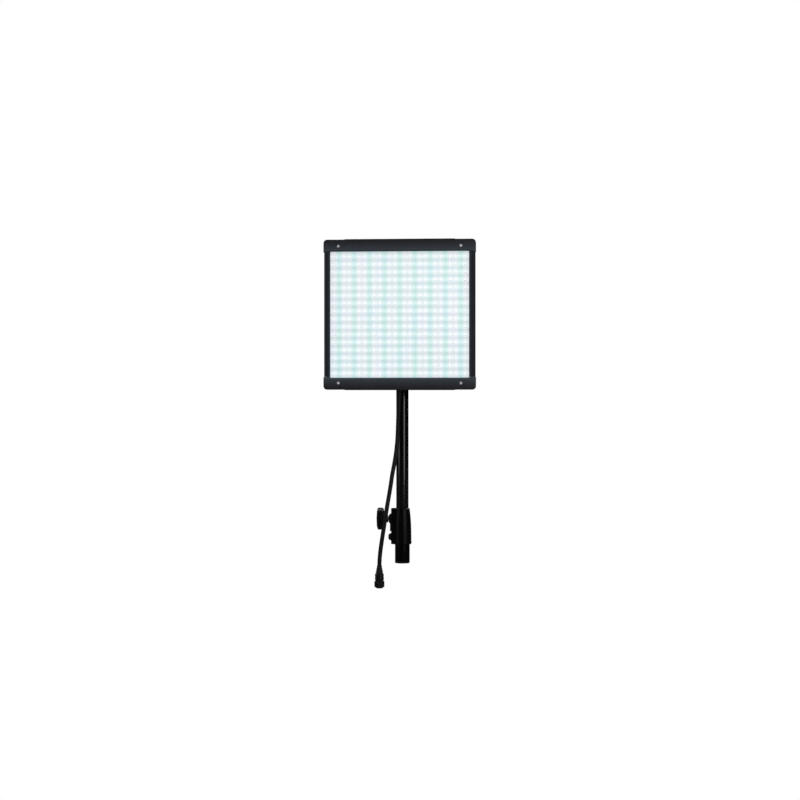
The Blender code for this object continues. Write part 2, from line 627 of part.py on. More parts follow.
def collar():
    """The casting that joins the two tubes, with its clamp block on the left."""
    def r(z):
        t = (z - COLLAR_BOTTOM) / (COLLAR_TOP - COLLAR_BOTTOM)
        return COLLAR_BOTTOM_RADIUS + (COLLAR_TOP_RADIUS - COLLAR_BOTTOM_RADIUS) * t ** 3

    z0, z1 = COLLAR_BOTTOM, COLLAR_TOP
    swell = [z1 - 0.0016 - k * 0.009 for k in range(6)]
    profile = [
        (0, z0),
        (r(z0) - 0.002, z0),
        (r(z0) - 0.0004, z0 + 0.0008),
        (r(z0) + 0.0004, z0 + 0.0026),
        (r(z0) + 0.0004, z0 + 0.0052),
        (r(z0), z0 + 0.0060),
        *[(r(z), z) for z in reversed(swell)],
        (r(z1) - 0.0012, z1),
        (0, z1),
    ]
    o = turned("collar_body", profile, CASTING, COLUMN, steps=40)
    block = box_mesh((BLOCK_FACE, -BLOCK_HALF_Y, z0 + 0.0008), (-0.002, BLOCK_HALF_Y, z1 - 0.0004))
    join(o, bevel(cutter("collar_block", block), 0.0016))
    bore = [
        (0, z0 - 0.01),
        (LOWER_RADIUS + GAP, z0 - 0.01),
        (LOWER_RADIUS + GAP, COLLAR_STEP),
        (SLEEVE_RADIUS + GAP, COLLAR_STEP),
        (SLEEVE_RADIUS + GAP, COLLAR_STEP + SLEEVE_LENGTH + GAP),
        (UPPER_RADIUS + 0.0004, COLLAR_STEP + SLEEVE_LENGTH + GAP),
        (UPPER_RADIUS + 0.0004, z1 + 0.01),
        (0, z1 + 0.01),
    ]
    cut(o, turned_mesh(bore, steps=40))
    split = COLLAR_STEP + 0.0012
    cut(o, box_mesh((BLOCK_FACE - 0.01, -0.02, COLLAR_STEP), (BLOCK_FACE + 0.006, 0.02, split)))
    cut(o, rod_mesh(SCREW_HOLE, -0.04, 0, "X", (0, 0, LOCK_Z), 20))
    cut(o, rod_mesh(0.0033, -0.04, -0.0142, "X", (0, 0, CLAMP_BOLT_Z), 16))

    bottom, top = COLLAR_STEP + 0.0002, COLLAR_STEP + SLEEVE_LENGTH
    bore = UPPER_RADIUS + GAP
    sleeve = [(bore, bottom), (SLEEVE_RADIUS, bottom), (SLEEVE_RADIUS, top), (bore, top)]
    turned("collar_sleeve", sleeve, NYLON, COLUMN, steps=40)

    face = BLOCK_FACE - GAP
    low, high = (face - BLOCK_PLATE, -0.0098, LOCK_Z - 0.0248), (face, 0.0098, LOCK_Z + 0.0100)
    plate = box("face_plate", low, high, BLACK_STEEL, COLUMN)
    cut(plate, rod_mesh(0.0066, -0.04, 0, "X", (0, 0, LOCK_Z), 24))
    front = -BLOCK_PLATE - GAP
    boss = [(SCREW_HOLE, 0), (0.0063, 0), (0.0063, front), (0.0098, front), (0.0094, front - 0.0014),
            (0.0070, front - 0.0027), (SCREW_HOLE, front - 0.0027)]
    turned("knob_boss", boss, BLACK_STEEL, COLUMN, "X", (face, 0, LOCK_Z), 28)
    bolt = [(0, -0.0030), (0.0026, -0.0030), (0.0026, -0.0056), (0.0036, -0.0056), (0.0060, -0.0040),
            (0.0075, -0.0012), (0.0075, 0), (0.0029, 0), (0.0029, 0.0070), (0, 0.0070)]
    turned("clamp_bolt", bolt, BLACK_STEEL, COLUMN, "X", (face, 0, CLAMP_BOLT_Z), 24)

    locking_screw("lock", "X", -1, (0, 0, LOCK_Z), UPPER_RADIUS + GAP, 0.0287,
                  (KNOB_RADIUS, 0.0090, 0.0136), COLUMN)


def lower_column():
    tube("lower_tube", LOWER_RADIUS, LOWER_WALL, 0.0033, COLLAR_STEP - GAP, TUBE, COLUMN, 40)
    bore = LOWER_RADIUS - LOWER_WALL - GAP
    plug = [(0, 0), (LOWER_RADIUS - 0.0006, 0), (LOWER_RADIUS, 0.0006), (LOWER_RADIUS, 0.0030),
            (bore, 0.0030), (bore, 0.0120), (0, 0.0120)]
    turned("end_plug", plug, NYLON, COLUMN, steps=40)


# ---- lead -----------------------------------------------------------------------------------


def smooth_route(route, step):
    """Evenly spaced points on a smooth curve through the route's own points."""
    p = [Vector(q) for q in route]
    p = [2 * p[0] - p[1], *p, 2 * p[-1] - p[-2]]
    fine = []
    for a, b, c, d in zip(p, p[1:], p[2:], p[3:]):
        for i in range(20):
            t = i / 20
            fine.append(0.5 * (2 * b + (c - a) * t + (2 * a - 5 * b + 4 * c - d) * t * t
                               + (3 * b - a - 3 * c + d) * t ** 3))
    fine.append(p[-2])
    travelled = [0.0]
    for a, b in zip(fine, fine[1:]):
        travelled.append(travelled[-1] + (b - a).length)
    count = max(2, round(travelled[-1] / step))
    points, k = [], 0
    for i in range(count + 1):
        want = travelled[-1] * i / count
        while k < len(fine) - 2 and travelled[k + 1] < want:
            k += 1
        span = travelled[k + 1] - travelled[k]
        points.append(fine[k].lerp(fine[k + 1], (want - travelled[k]) / span if span else 0))
    return points


def cord():
    points = smooth_route(CORD_ROUTE, CORD_STEP)
    curve = bpy.data.curves.new("power_cord", "CURVE")
    curve.dimensions = "3D"
    curve.bevel_depth = CORD_RADIUS
    curve.bevel_resolution = 3
    curve.use_fill_caps = True
    line = curve.splines.new("POLY")
    line.points.add(len(points) - 1)
    for p, q in zip(line.points, points):
        p.co = (*q, 1)
    o = bpy.data.objects.new("power_cord", curve)
    curve.materials.append(RUBBER)
    PART.objects.link(o)
    o.parent = RECEIVER


def gland():
    """The threaded nut in the hub's lower wall, and the tapered sleeve under it."""
    wall = PANEL_Z - HUB_HALF
    at = (0, CORD_Y, 0)
    nut = [(0, wall + 0.008), (0.0050, wall + 0.008), (0.0050, wall - GAP), (0.0068, wall - GAP),
           (0.0068, wall - 0.0055), (0.0060, wall - 0.0065), (0, wall - 0.0065)]
    turned("cord_gland", nut, BLACK_STEEL, PANEL, centre=at, steps=24)
    top, bottom = wall - 0.0065 - GAP, CORD_TOP + GAP
    relief = [(0, top), (0.0060, top), (0.0060, top - 0.004), (CORD_RADIUS + 0.0006, bottom), (0, bottom)]
    turned("strain_relief", relief, RUBBER, PANEL, centre=at, steps=24)


def connector():
    """The in-line connector under the lead, with its screwed ring."""
    x, y, z = CORD_ROUTE[-1]
    at = (x, y, z - GAP)
    neck = CORD_RADIUS + 0.0006
    boot = [(0, 0), (neck, 0), (neck + 0.0004, -0.001), (0.0072, -0.015), (0.0078, -0.016), (0, -0.016)]
    turned("connector_boot", boot, RUBBER, RECEIVER, centre=at, steps=28)
    shell = [(0, -0.0163), (0.0080, -0.0163), (0.0088, -0.0171), (0.0088, -0.0290), (0.0073, -0.0303),
             (0.0073, -0.0440), (0.0066, -0.0446), (0.0058, -0.0446), (0.0058, -0.0390), (0, -0.0390)]
    turned("connector_body", shell, BLACK_STEEL, RECEIVER, centre=at, steps=32)
    turn = body("connector_axis", at=at, parent=RECEIVER)
    ring = [(0.0076, -0.0308), (0.0095, -0.0308), (0.0100, -0.0314), (0.0100, -0.0416),
            (0.0095, -0.0422), (0.0076, -0.0422)]
    grips = lobed(0.0005, 9, 0.0097)
    turned("connector_ring", ring, BLACK_STEEL, turn, centre=at, steps=36, lobes=grips)


end_bar("top_bar", 1)
end_bar("bottom_bar", -1)
side_rail("side_rail_left", -1)
side_rail("side_rail_right", 1)
stack()
panel_screws()
hub()
tilt_bracket()
tilt_lever()
receiver()
riser()
collar()
lower_column()
gland()
cord()
connector()
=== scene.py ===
"""Looks of the LED panel light: detailed pieces, materials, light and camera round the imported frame.

Units are metres, in the frame's own axes: Z up the column, the panel's lit side looks along -Y.
"""

import math

import bmesh
import bpy
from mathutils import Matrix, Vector


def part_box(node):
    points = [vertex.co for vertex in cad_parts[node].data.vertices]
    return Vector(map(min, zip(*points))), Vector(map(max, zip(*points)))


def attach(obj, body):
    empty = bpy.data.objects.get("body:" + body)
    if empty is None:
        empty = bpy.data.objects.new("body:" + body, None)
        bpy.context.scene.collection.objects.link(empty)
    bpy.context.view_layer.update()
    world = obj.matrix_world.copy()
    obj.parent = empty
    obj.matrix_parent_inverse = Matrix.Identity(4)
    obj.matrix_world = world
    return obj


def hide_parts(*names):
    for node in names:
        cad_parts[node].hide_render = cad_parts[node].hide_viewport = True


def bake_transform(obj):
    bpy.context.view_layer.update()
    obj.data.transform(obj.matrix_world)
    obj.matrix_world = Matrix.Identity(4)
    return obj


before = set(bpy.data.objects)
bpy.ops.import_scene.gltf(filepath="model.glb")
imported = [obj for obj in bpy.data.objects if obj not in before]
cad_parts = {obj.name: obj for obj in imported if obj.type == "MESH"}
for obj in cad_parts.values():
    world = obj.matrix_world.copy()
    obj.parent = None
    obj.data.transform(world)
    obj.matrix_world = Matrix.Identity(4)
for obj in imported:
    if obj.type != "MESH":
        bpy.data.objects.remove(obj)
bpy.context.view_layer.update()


# ---- places taken from the frame ------------------------------------------------------------

def low(node):
    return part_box(node)[0]


def high(node):
    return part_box(node)[1]


def middle(node):
    return (low(node) + high(node)) / 2


PANEL_Z = middle("led_board").z  # the height of the panel's centre
FRONT = low("top_bar").y
BACK = high("top_bar").y
HALF_WIDTH = high("top_bar").x
RAIL_OUTER = high("side_rail_right").x
RAIL_INNER = low("side_rail_right").x
RAIL_FRONT = low("side_rail_right").y
BAR_TOP = high("top_bar").z - PANEL_Z  # the proud middle of a bar
BAR_PROUD = 0.0008  # how far the middle stands past the corners
BAR_OUTER = BAR_TOP - BAR_PROUD
BAR_PROUD_HALF = 0.107  # half the proud middle's width
BAR_INNER = 0.1241  # the bar's edge at the window, from the panel's centre
BAR_LAP = 0.0012  # the bar's ends reach this far down over the rails
BAR_CORNER = 0.0072
TILT = Vector((0, 0, PANEL_Z))  # a point on the tilt axis, which runs along X

UPPER_RADIUS = high("upper_tube").x
LOWER_RADIUS = high("lower_tube").x
CORD_Y = middle("cord_gland").y
CORD_TOP = high("power_cord").z
CORD_RADIUS = 0.0042
CORD_ROUTE = [  # as in the CAD source
    (0.0000, CORD_Y, CORD_TOP),
    (0.0000, CORD_Y, 0.3970),
    (-0.0004, -0.0580, 0.3800),
    (-0.0013, -0.0556, 0.3600),
    (-0.0025, -0.0528, 0.3400),
    (-0.0036, -0.0506, 0.3200),
    (-0.0045, -0.0490, 0.3000),
    (-0.0053, -0.0480, 0.2800),
    (-0.0060, -0.0476, 0.2600),
    (-0.0074, -0.0477, 0.2400),
    (-0.0097, -0.0483, 0.2200),
    (-0.0130, -0.0493, 0.2000),
    (-0.0166, -0.0506, 0.1800),
    (-0.0195, -0.0520, 0.1600),
    (-0.0227, -0.0533, 0.1400),
    (-0.0261, -0.0544, 0.1200),
    (-0.0292, -0.0552, 0.1000),
    (-0.0322, -0.0557, 0.0800),
    (-0.0353, -0.0560, 0.0600),
    (-0.0383, -0.0562, 0.0400),
    (-0.0404, -0.0563, 0.0230),
    (-0.0415, -0.0564, 0.0080),
    (-0.0417, -0.0564, 0.0005),
]

# the LED pattern: pairs of columns, and rows between them
PAIR_PITCH = 0.0300
PAIR_GAP = 0.0115
ROW_PITCH = 0.01536
COLUMNS = 18
ROWS = 16
SPOT_WIDTH = 0.0038  # how far the glow round one LED spreads
ROW_WIDTH = 0.0036  # and the glow along a row of them

BOLT_BORE = 0.0044  # radius of the holes for the tilt bolt and the locking studs
MOUNT_BORE = 0.0023  # and of the holes for the bracket's screws
FLOOR_Z = -1.2


# ---- materials ------------------------------------------------------------------------------

class Nodes:
    """A material's node tree with short calls to add and link nodes."""

    def __init__(self, name, colour, roughness, metallic=0.0, coat=0.0, specular=0.5):
        self.material = bpy.data.materials.new(name)
        self.material.use_nodes = True
        self.tree = self.material.node_tree
        self.shader = self.tree.nodes["Principled BSDF"]
        self.set(self.shader, {
            "Base Color": (*colour, 1), "Roughness": roughness, "Metallic": metallic,
            "Coat Weight": coat, "Coat Roughness": 0.12, "Specular IOR Level": specular,
        })
        self.material.diffuse_color = (*colour, 1)
        self.place = self.add("ShaderNodeTexCoord").outputs["Object"]

    def set(self, node, values):
        for key, value in values.items():
            if isinstance(value, bpy.types.NodeSocket):
                self.tree.links.new(value, node.inputs[key])
            else:
                node.inputs[key].default_value = value

    def add(self, kind, values=(), **settings):
        node = self.tree.nodes.new(kind)
        for key, value in settings.items():
            setattr(node, key, value)
        self.set(node, dict(values))
        return node

    def math(self, operation, *values):
        node = self.add("ShaderNodeMath", operation=operation)
        for socket, value in zip(node.inputs, values):
            if isinstance(value, bpy.types.NodeSocket):
                self.tree.links.new(value, socket)
            else:
                socket.default_value = value
        return node.outputs[0]

    def scaled(self, scale):
        node = self.add("ShaderNodeMapping", {"Vector": self.place, "Scale": scale})
        return node.outputs[0]

    def noise(self, scale, detail=3, vector=None):
        node = self.add("ShaderNodeTexNoise", {
            "Vector": vector or self.place, "Scale": scale, "Detail": detail, "Roughness": 0.55})
        return node.outputs["Fac"]

    def remap(self, value, low_in, high_in, low_out, high_out):
        node = self.add("ShaderNodeMapRange", {
            "Value": value, "From Min": low_in, "From Max": high_in, "To Min": low_out, "To Max": high_out})
        return node.outputs[0]

    def blend(self, factor, first, second):
        node = self.add("ShaderNodeMix", data_type="RGBA")
        for key, value in ((0, factor), (6, first), (7, second)):
            if isinstance(value, bpy.types.NodeSocket):
                self.tree.links.new(value, node.inputs[key])
            else:
                node.inputs[key].default_value = value if key == 0 else (*value, 1)
        return node.outputs[2]

    def colour(self, socket):
        self.set(self.shader, {"Base Color": socket})

    def roughness(self, socket):
        self.set(self.shader, {"Roughness": socket})

    def bump(self, height, distance, strength):
        node = self.add("ShaderNodeBump", {"Height": height, "Distance": distance, "Strength": strength})
        self.set(self.shader, {"Normal": node.outputs[0]})


def tint(colour, factor):
    return tuple(min(1.0, c * factor) for c in colour)


def window_glow_mask(n, axis, centre, start, end):
    """Mask of a painted glow from the lit window: 1 at the window's edge down to 0 at the outer edge, on the
    front faces only.
    """
    place = n.add("ShaderNodeSeparateXYZ", {"Vector": n.place}).outputs
    away = n.math("ABSOLUTE", n.math("SUBTRACT", place[axis], centre))
    in_front = n.remap(place["Y"], FRONT + 0.0024, FRONT + 0.0042, 1, 0)
    return n.math("MULTIPLY", n.math("POWER", n.remap(away, start, end, 1, 0), 1.5), in_front)


def painted(name, colour, roughness, grain=1400, depth=0.00006, specular=0.5, wear=0.25, lit=None):
    """Sprayed or powder-coated metal: fine orange peel, slow tone change, dust in the roughness.

    lit gives the colour beside the window, a painted glow of the lit window's light, and the glow mask's
    axis, centre, start and end.
    """
    n = Nodes(name, colour, roughness, specular=specular)
    slow = n.noise(14, 4)
    fleck = n.noise(420, 2)
    tone = n.blend(n.remap(slow, 0.3, 0.7, 0, 1), tint(colour, 0.86), tint(colour, 1.16))
    # painted light: towards the window the colour turns to the lit colour, a painted glow of the window's
    # light on the front faces
    if lit:
        near, place = lit
        tone = n.blend(window_glow_mask(n, *place), tone, near)
    rub = n.remap(fleck, 0.62, 0.78, 0, wear)
    n.colour(n.blend(rub, tone, tint(colour, 1.7)))
    n.roughness(n.remap(n.noise(55, 3), 0.3, 0.7, roughness - 0.06, roughness + 0.07))
    n.bump(n.noise(grain, 2), depth, 0.6)
    return n.material


def moulded(name, colour, roughness, grain=1100, depth=0.00008, specular=0.5):
    """Spark-eroded plastic: a pebbled surface with a slight sheen change."""
    n = Nodes(name, colour, roughness, specular=specular)
    cells = n.add("ShaderNodeTexVoronoi", {"Vector": n.place, "Scale": grain}).outputs["Distance"]
    n.colour(n.blend(n.remap(n.noise(30, 4), 0.3, 0.7, 0, 1), tint(colour, 0.85), tint(colour, 1.2)))
    n.roughness(n.remap(n.noise(90, 3), 0.3, 0.7, roughness - 0.07, roughness + 0.08))
    n.bump(n.math("ADD", cells, n.noise(grain * 2, 1)), depth, 0.45)
    return n.material


def drawn(name, colour, roughness, along=(1, 1, 0.02), metallic=1.0, depth=0.00002, scale=900, lit=None):
    """Metal with marks along one direction: brushed, drawn or turned. lit is as in painted, a painted glow of
    the lit window's light.
    """
    n = Nodes(name, colour, roughness, metallic)
    lines = n.noise(scale, 3, n.scaled(along))
    tone = n.blend(n.remap(lines, 0.35, 0.65, 0, 1), tint(colour, 0.86), tint(colour, 1.1))
    # painted light: towards the window the colour turns to the lit colour, a painted glow of the window's
    # light on the front faces
    if lit:
        near, place = lit
        tone = n.blend(window_glow_mask(n, *place), tone, near)
    n.colour(tone)
    n.roughness(n.remap(lines, 0.3, 0.7, roughness - 0.05, roughness + 0.09))
    n.bump(lines, depth, 0.5)
    return n.material


def gloss_tube(name, colour, roughness, coat=0.35, specular=0.5):
    """Gloss paint on drawn tube: nearly smooth, with faint vertical streaks that are rougher and lighter, the
    lighter colour a painted streak reflection.
    """
    n = Nodes(name, colour, roughness, 0.0, coat, specular)
    sheen_streaks = n.noise(260, 4, n.scaled((1, 1, 0.04)))
    # painted reflection: the base colour lightens along the vertical streaks
    n.colour(n.blend(n.remap(sheen_streaks, 0.55, 0.8, 0, 0.5), colour, tint(colour, 2.2)))
    n.roughness(n.remap(sheen_streaks, 0.4, 0.8, roughness, roughness + 0.10))
    n.bump(n.noise(90, 2), 0.00004, 0.25)
    return n.material


def glow_pattern(n):
    """(0 between pairs to 1 within them, spot brightness, row brightness) from the place on the board."""
    axes = n.add("ShaderNodeSeparateXYZ", {"Vector": n.place})
    z = n.math("SUBTRACT", axes.outputs["Z"], PANEL_Z)
    across = n.math("PINGPONG", axes.outputs["X"], PAIR_PITCH / 2)  # 0 between pairs, largest within one
    column = PAIR_PITCH / 2 - PAIR_GAP / 2
    dx = n.math("SUBTRACT", across, column)
    dz = n.math("SUBTRACT", n.math("PINGPONG", z, ROW_PITCH / 2), ROW_PITCH / 2)
    inside = n.add("ShaderNodeMapRange", {"Value": across, "From Min": 0.001, "From Max": 0.0095},
                   interpolation_type="SMOOTHSTEP").outputs[0]

    def bell(squared, width):
        return n.math("EXPONENT", n.math("DIVIDE", squared, -2 * width * width))

    dx2, dz2 = n.math("MULTIPLY", dx, dx), n.math("MULTIPLY", dz, dz)
    return inside, bell(n.math("ADD", dx2, dz2), SPOT_WIDTH), bell(dz2, ROW_WIDTH)


def lit_board():
    """White board in the light of its own LEDs: cool green between the pairs, faintly pink in them."""
    n = Nodes("lit_board", (0.25, 0.26, 0.26), 0.55)
    inside, spot, row = glow_pattern(n)
    drift = n.remap(n.noise(22, 1, n.scaled((1, 1, 0.30))), 0.38, 0.62, 0, 1)
    within = n.blend(drift, (0.480, 0.580, 0.615), (0.610, 0.560, 0.640))
    tinge = n.remap(n.noise(15, 1), 0.36, 0.64, 0, 1)
    between = n.blend(tinge, (0.340, 0.585, 0.545), (0.370, 0.570, 0.585))
    base = n.blend(inside, between, within)
    lifted = n.blend(inside, (0.600, 0.840, 0.825), (0.725, 0.800, 0.860))
    base = n.blend(n.math("MULTIPLY", row, 0.78), base, lifted)
    glow = n.blend(n.math("MULTIPLY", spot, 0.85), base, (0.930, 0.990, 1.030))
    n.set(n.shader, {"Emission Color": glow, "Emission Strength": 1.07})
    n.bump(n.noise(900, 2), 0.00003, 0.3)
    return n.material


def lit_phosphor():
    """The lit window of an LED package."""
    n = Nodes("led_phosphor", (0.85, 0.86, 0.80), 0.35)
    n.set(n.shader, {"Emission Strength": 1.08})
    flicker = n.noise(60, 2)
    n.set(n.shader, {"Emission Color": n.blend(flicker, (0.86, 0.95, 1.0), (0.92, 0.95, 0.98))})
    return n.material


def clear_sheet():
    """Clear front sheet with fine moulded prisms: mostly see-through, with a soft gloss."""
    n = Nodes("prism_sheet", (0.80, 0.86, 0.86), 0.22)
    n.set(n.shader, {"Alpha": 0.10})
    rib_pitch = 0.0012
    x = n.add("ShaderNodeSeparateXYZ", {"Vector": n.place}).outputs["X"]
    ribs = n.math("SINE", n.math("MULTIPLY", x, 2 * math.pi / rib_pitch))
    n.roughness(n.remap(n.noise(40, 3), 0.3, 0.7, 0.18, 0.28))
    n.bump(ribs, 0.00010, 0.5)
    return n.material


def cord_jacket():
    """Extruded rubber: matt, with a slow sheen change along it."""
    n = Nodes("cord_jacket", (0.0014, 0.0014, 0.0018), 0.44)
    n.colour(n.blend(n.noise(35, 4), (0.0010, 0.0010, 0.0013), (0.0020, 0.0020, 0.0024)))
    n.roughness(n.remap(n.noise(120, 3), 0.3, 0.7, 0.36, 0.50))
    n.bump(n.noise(700, 3), 0.00008, 0.4)
    return n.material


def circuit():
    """Green solder mask over tracks."""
    n = Nodes("circuit_mask", (0.02, 0.13, 0.06), 0.4)
    tracks = n.add("ShaderNodeTexBrick", {"Vector": n.place, "Scale": 160}).outputs["Color"]
    n.colour(n.blend(n.remap(n.noise(200, 1), 0.45, 0.55, 0, 1), (0.015, 0.10, 0.05), (0.03, 0.18, 0.08)))
    n.bump(tracks, 0.00005, 0.3)
    return n.material


# The lit colours of the bars and rails are a painted glow of the window's light, brighter towards the window
# on their fronts.
BAR_PAINT = painted("bar_paint", (0.0185, 0.0175, 0.0225), 0.46, lit=(
    (0.062, 0.080, 0.097), ("Z", PANEL_Z, BAR_INNER, BAR_OUTER)))
RAIL_FINISH = drawn("rail_anodised", (0.0075, 0.0095, 0.0145), 0.46, (1, 1, 0.015), 0.10, 0.00003, 1200,
                    lit=((0.048, 0.062, 0.093), ("X", 0.0, RAIL_INNER, RAIL_OUTER - 0.003)))
SHEET = clear_sheet()
LIT_BOARD = lit_board()
PHOSPHOR = lit_phosphor()
PACKAGE = painted("led_package", (0.80, 0.82, 0.80), 0.45, 2500, 0.00002, wear=0.05)
SPACER = painted("spacer_white", (0.62, 0.65, 0.65), 0.5, 900, 0.00003, wear=0.05)
SPREADER = drawn("spreader_aluminium", (0.70, 0.71, 0.72), 0.34, (0.02, 1, 1))
COVER_PAINT = painted("cover_paint", (0.019, 0.020, 0.0225), 0.5, 1500, 0.00010)
CASTING = painted("casting_paint", (0.0012, 0.0012, 0.0016), 0.34, 700, 0.00014, specular=0.20)
ZINC = drawn("zinc_plate", (0.96, 0.98, 1.00), 0.34, (1, 0.05, 1), 0.06, scale=1500)
STUD_STEEL = drawn("stud_steel", (0.66, 0.66, 0.66), 0.24, (1, 1, 6), scale=260)
BLACK_OXIDE = painted("black_oxide", (0.0024, 0.0024, 0.0028), 0.36, 2200, 0.00003, wear=0.4)
TUBE_PAINT = gloss_tube("tube_gloss", (0.0008, 0.0008, 0.0010), 0.16)
LOWER_PAINT = gloss_tube("lower_tube_gloss", (0.0006, 0.0006, 0.0007), 0.28, 0.05, 0.15)
NYLON = moulded("black_nylon", (0.004, 0.004, 0.0045), 0.5, 900, 0.00004)
KNOB_PLASTIC = moulded("knob_plastic", (0.0013, 0.0013, 0.0013), 0.50, 1300, 0.00010, 0.22)
BRASS = drawn("brass_turned", (0.72, 0.52, 0.22), 0.3, (1, 1, 1))
CIRCUIT = circuit()
JACKET = cord_jacket()
BOOT = moulded("boot_rubber", (0.006, 0.006, 0.0065), 0.56, 800, 0.00006)


# ---- shapes ---------------------------------------------------------------------------------

def mesh_object(name, bm, material=None, sharp=32):
    bmesh.ops.recalc_face_normals(bm, faces=bm.faces)
    mesh = bpy.data.meshes.new(name)
    bm.to_mesh(mesh)
    bm.free()
    o = bpy.data.objects.new(name, mesh)
    bpy.context.scene.collection.objects.link(o)
    if material:
        mesh.materials.append(material)
    mesh.shade_smooth()
    mesh.set_sharp_from_angle(angle=math.radians(sharp))
    return o


def piece(name, bm, material, body, nodes=(), sharp=32):
    """A finished piece on its body, standing for the CAD nodes named."""
    o = mesh_object(name, bm, material, sharp)
    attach(o, body)
    if nodes:
        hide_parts(*nodes)
    return o


def arc(centre, radius, first, last, count):
    """Points on an arc, its angles in degrees."""
    turns = [math.radians(first + (last - first) * i / count) for i in range(count + 1)]
    return [(centre[0] + radius * math.cos(t), centre[1] + radius * math.sin(t)) for t in turns]


def fillet(points, radius, steps=3):
    """Rounds an outline's corners. A point on the axis, with a first number of 0, stays."""
    out = []
    count = len(points)
    for i, p in enumerate(points):
        p = Vector(p)
        if p.x == 0:
            out.append(tuple(p))
            continue
        a, b = Vector(points[i - 1]), Vector(points[(i + 1) % count])
        u, v = a - p, b - p
        turn = u.angle(v, math.pi) if u.length and v.length else math.pi
        if turn > math.radians(168):  # nearly straight
            out.append(tuple(p))
            continue
        reach = min(radius / math.tan(turn / 2), u.length * 0.45, v.length * 0.45)
        start, end = p + u.normalized() * reach, p + v.normalized() * reach
        for k in range(steps + 1):
            t = k / steps
            out.append(tuple(start * (1 - t) ** 2 + p * 2 * t * (1 - t) + end * t * t))
    return out


def turned(profile, axis="Z", centre=(0, 0, 0), steps=96, lobes=None, edge=0.0003):
    """A closed (radius, height) outline turned about an axis, with its corners rounded."""
    bm = bmesh.new()
    profile = fillet(profile, edge) if edge else profile
    rings = []
    for radius, height in profile:
        ring = []
        for i in range(1 if radius == 0 else steps):
            a = 2 * math.pi * i / steps
            r = lobes(radius, a) if lobes and radius else radius
            u, v = r * math.cos(a), r * math.sin(a)
            p = {"X": (height, u, v), "Y": (v, height, u), "Z": (u, v, height)}[axis]
            ring.append(bm.verts.new(Vector(p) + Vector(centre)))
        rings.append(ring)
    for k, a in enumerate(rings):
        b = rings[(k + 1) % len(rings)]
        if len(a) == 1 and len(b) == 1:
            continue
        for i in range(steps):
            j = (i + 1) % steps
            corners = [a[i % len(a)], a[j % len(a)], b[j % len(b)], b[i % len(b)]]
            bm.faces.new(list(dict.fromkeys(corners)))
    return bm


def slab(points, axis, start, end, edge=0.0, segments=3):
    """A flat outline pushed along an axis, its two rims rounded."""
    def at(p, h):
        return {"X": (h, p[0], p[1]), "Y": (p[0], h, p[1]), "Z": (p[0], p[1], h)}[axis]

    bm = bmesh.new()
    first = [bm.verts.new(at(p, start)) for p in points]
    last = [bm.verts.new(at(p, end)) for p in points]
    ends = [bm.faces.new(first), bm.faces.new(last)]
    for i in range(len(points)):
        j = (i + 1) % len(points)
        bm.faces.new((first[i], first[j], last[j], last[i]))
    if edge:
        rims = [e for f in ends for e in f.edges]
        bmesh.ops.bevel(bm, geom=rims, offset=edge, segments=segments, profile=0.5, affect="EDGES")
    return bm


def rectangle(half_x, half_y, radius, centre=(0, 0), steps=6):
    """An outline with round corners."""
    out = []
    for k, (sx, sy) in enumerate(((1, 1), (-1, 1), (-1, -1), (1, -1))):
        c = (centre[0] + sx * (half_x - radius), centre[1] + sy * (half_y - radius))
        out += arc(c, radius, 90 * k, 90 * k + 90, steps)
    return out


def cuboid(lowest, highest):
    bm = bmesh.new()
    bmesh.ops.create_cube(bm, size=1)
    for v in bm.verts:
        for k in range(3):
            v.co[k] = highest[k] if v.co[k] > 0 else lowest[k]
    return bm


def combined(base, *tools):
    """A mesh with other meshes cut from it ('-') or joined to it ('+'), in order."""
    target = mesh_object("work", base)
    extra = []
    for sign, bm in tools:
        tool = mesh_object("tool", bm)
        extra.append(tool)
        m = target.modifiers.new("b", "BOOLEAN")
        m.operation = "UNION" if sign == "+" else "DIFFERENCE"
        m.solver = "EXACT"
        m.object = tool
    dg = bpy.context.evaluated_depsgraph_get()
    out = bmesh.new()
    out.from_mesh(bpy.data.meshes.new_from_object(target.evaluated_get(dg)))
    bmesh.ops.remove_doubles(out, verts=out.verts, dist=1e-6)
    for o in (target, *extra):
        bpy.data.objects.remove(o, do_unlink=True)
    return out


def rod(radius, start, end, axis, centre=(0, 0, 0), steps=40):
    return turned([(0, start), (radius, start), (radius, end), (0, end)], axis, centre, steps, edge=0)


# ---- panel ----------------------------------------------------------------------------------

def bar_outline(side, outer, inner):
    """The bar's front outline, moved in by outer at its outside and by inner at the window."""
    half, top, sill = HALF_WIDTH - outer, BAR_OUTER - outer, BAR_INNER + inner
    window = RAIL_INNER + inner * 0.35
    r = BAR_CORNER - min(outer, BAR_CORNER * 0.8)
    right = [
        (window - BAR_LAP, sill),
        (window, sill - BAR_LAP),
        (half, sill - BAR_LAP if inner < 0.0004 else BAR_INNER - BAR_LAP + min(inner, outer)),
        *arc((half - r, top - r), r, 0, 90, 10),
        (BAR_PROUD_HALF + 0.003, top),
        (BAR_PROUD_HALF, top + BAR_PROUD),
    ]
    left = [(-x, z) for x, z in reversed(right)]
    return [(x, PANEL_Z + side * z) for x, z in right + left]


